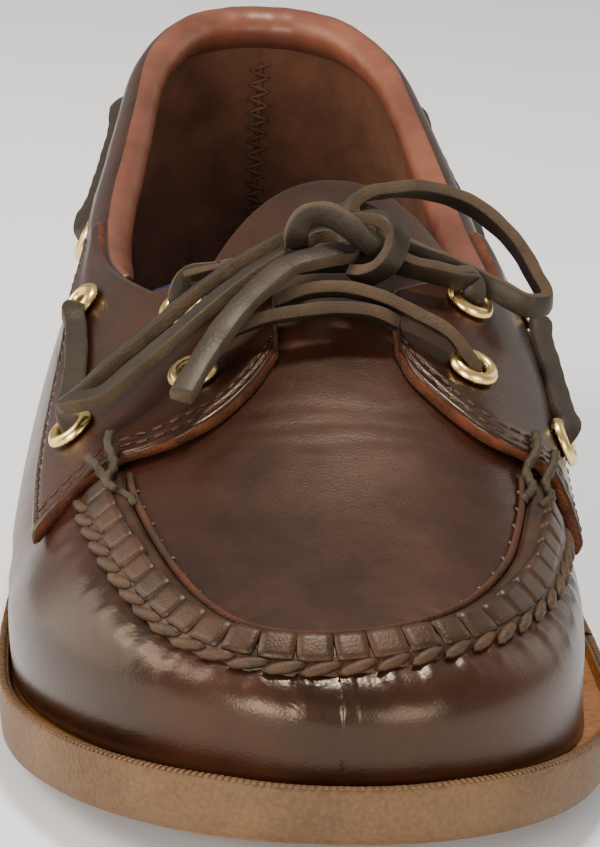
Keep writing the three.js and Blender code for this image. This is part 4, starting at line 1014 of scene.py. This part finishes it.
def sole_loop(inset, height):
    sides = []
    for side in (-1, 1):
        s = inset + sole_s * (SOLE_LENGTH - 2 * inset) / SOLE_LENGTH
        half = along(SOLE_OUTLINE, 1 if side < 0 else 2, s) - inset
        ends = rounding(SOLE_LENGTH - inset - s, *SOLE_ROUND) * rounding(s - inset, *HEEL_ROUND)
        sides.append(np.column_stack([middle(s) + side * half * ends, HEEL_Y - s, height(s)]))
    return np.concatenate([sides[0], sides[1][-2:0:-1]])


def upper_loop(clear, height):
    sides = []
    for side in (-1, 1):
        s = layer_s(LAST_HEEL + sole_s * (LAST_TOE - LAST_HEEL) / SOLE_LENGTH, -clear)
        tuck = (1.2 if side < 0 else -0.8) * closing(s, side, -clear)
        sides.append(np.column_stack([edge_x(s, side, -clear) - side * tuck, HEEL_Y - s, height(s)]))
    return np.concatenate([sides[0], sides[1][-2:0:-1]])


def rubber(name, deep, pale, pebble, relief_strength, roughness, sipes=False):
    finish, tree, place = blank_finish(name)
    lumps = node(tree, "ShaderNodeTexVoronoi", {"feature": "SMOOTH_F1"}, Vector=place, Scale=pebble)
    height = lumps.outputs["Distance"]
    # Painted shade: the colour is darker in the hollows between the pebbles, and it also varies at random with a slow
    # noise.
    hollow_shade_and_mottle = math_node(tree, "MULTIPLY_ADD", height, -0.45, noise(tree, place, 38.0, 5.0, 0.6))
    tone = tint(tree, spread(tree, hollow_shade_and_mottle, 0.1, 0.55), colour(*deep), colour(*pale))
    if sipes:
        cuts = node(tree, "ShaderNodeTexWave", {"bands_direction": "Y", "wave_profile": "SAW"}, Vector=place,
                    Scale=55.0, Distortion=1.6)
        height = math_node(tree, "MULTIPLY_ADD", cuts.outputs[1], 3.0, height)
    relief = node(tree, "ShaderNodeBump", Strength=relief_strength, Distance=0.0006, Height=height)
    relief.invert = True
    surface(tree, Base_Color=tone, Roughness=roughness, Normal=relief.outputs[0], Specular_IOR_Level=0.4)
    return finish


def raised(base, lift):
    return lambda s: base(s) + lift


def side_wall(inset, share):
    wall_low, wall_cut = 1.6, 1.0
    return sole_loop(inset, lambda s: under_z(s) + wall_low + share * (
        feather_z(s) + RIM_HEIGHT - wall_cut - under_z(s) - wall_low))


gum = rubber("gum_rubber_side", (84, 58, 31), (110, 80, 47), 1300.0, 0.35, 0.6)
amber = rubber("amber_channel", (122, 72, 28), (168, 108, 50), 900.0, 0.3, 0.45)
tread = rubber("siped_tread", (112, 76, 44), (146, 106, 68), 700.0, 0.6, 0.8, sipes=True)
rings = [sole_loop(inset, raised(under_z, lift)) for inset, lift in (
    (3.0, 0), (2.2, 0.05), (1.5, 0.45), (1.0, 1.2))]
rings += [side_wall(*place) for place in ((0.7, 0.02), (0.35, 0.3), (0.15, 0.6), (0.05, 0.9), (0.0, 1.0))]
rings += [sole_loop(inset, raised(feather_z, lift)) for inset, lift in (
    (0.12, RIM_HEIGHT - 0.4), (0.5, RIM_HEIGHT - 0.05), (1.0, RIM_HEIGHT), (1.7, RIM_HEIGHT - 0.1),
    (2.1, 0.3), (2.4, -0.3))]
rings += [upper_loop(clear, raised(feather_z, -0.4)) for clear in (0.2, -2.5)]
around = len(rings[0])
faces = ring_faces(len(rings), around, False)
slots = [kind for kind, count in ((2, 2), (0, 10), (1, 4)) for _ in range(count * around)]
one_side = len(sole_s)
for base, kind, turned in ((0, 2, True), ((len(rings) - 1) * around, 1, False)):
    for i in range(one_side - 1):
        beyond = (around - i - 1) % around if i < one_side - 2 else i + 1
        quad = list(dict.fromkeys(base + q for q in (i, i + 1, beyond, (around - i) % around)))
        faces.append(tuple(quad[::-1] if turned else quad))
        slots.append(kind)
sole = make_piece("gum_outsole", np.concatenate(rings), faces, [gum, amber, tread], slots, creased=True)
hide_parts("outsole")
TEETH_PITCH = 1.15
rim_line = sole_loop(0.55, raised(feather_z, RIM_HEIGHT))
rim_line = np.concatenate([rim_line, rim_line[:1]])
at, run, face = spaced(rim_line, np.tile([0, 0, 1.0], (len(rim_line), 1)), TEETH_PITCH)
front = at[:, 1] < 0
repeated("rim_teeth", at[front], run[front], face[front], (0.75, 1.3, 0.4), gum, 0.06, 13, "blocks")

# Floor and light
# A plain pale paper floor. Soft square lamps stand in front, at both sides and above, as in a small
# studio, and the ones on the outer side are a little warmer.
floor_mesh = bpy.data.meshes.new("floor")
floor_mesh.from_pydata([(-2.0, -2.0, 0), (2.0, -2.0, 0), (2.0, 1.6, 0), (-2.0, 1.6, 0)], [], [(0, 1, 2, 3)])
floor = add("floor", floor_mesh)
paper, tree, place_node = blank_finish("pale_paper")
tone = tint(tree, noise(tree, place_node, 6.0, 3.0), colour(236, 239, 243), colour(243, 246, 250))
surface(tree, Base_Color=tone, Roughness=0.9)
floor_mesh.materials.append(paper)
NEUTRAL, WARM = (1.0, 0.96, 0.90), (1.0, 0.88, 0.77)
BODY, THROAT = (0, -0.02, 0.04), (0, -0.05, 0.06)
for name, at, aim, size, power, tone in (
    ("lamp_front_left", (-0.6, -1.1, 0.35), BODY, 0.5, 12, NEUTRAL),
    ("lamp_front_right", (0.6, -1.1, 0.35), BODY, 0.5, 6, NEUTRAL),
    ("lamp_left", (-0.85, 0.30, 0.34), BODY, 0.7, 4, WARM),
    ("lamp_high_left", (-0.75, 0.0, 0.7), BODY, 0.5, 6, WARM),
    ("lamp_right", (0.8, 0.4, 0.4), BODY, 0.6, 1.5, NEUTRAL),
    ("lamp_above", (0.05, 0.04, 0.95), THROAT, 0.16, 8, NEUTRAL),
):
    light = bpy.data.lights.new(name, "AREA")
    light.size, light.energy, light.color = size, power, tone
    lamp = add(name, light)
    lamp.location = at
    lamp.rotation_euler = (Vector(aim) - Vector(at)).to_track_quat("-Z", "Y").to_euler()
world = bpy.data.worlds.new("room")
bpy.context.scene.world = world
world.use_nodes = True
glow = world.node_tree.nodes["Background"].inputs
glow["Color"].default_value = (1.0, 0.97, 0.93, 1)
glow["Strength"].default_value = 0.42
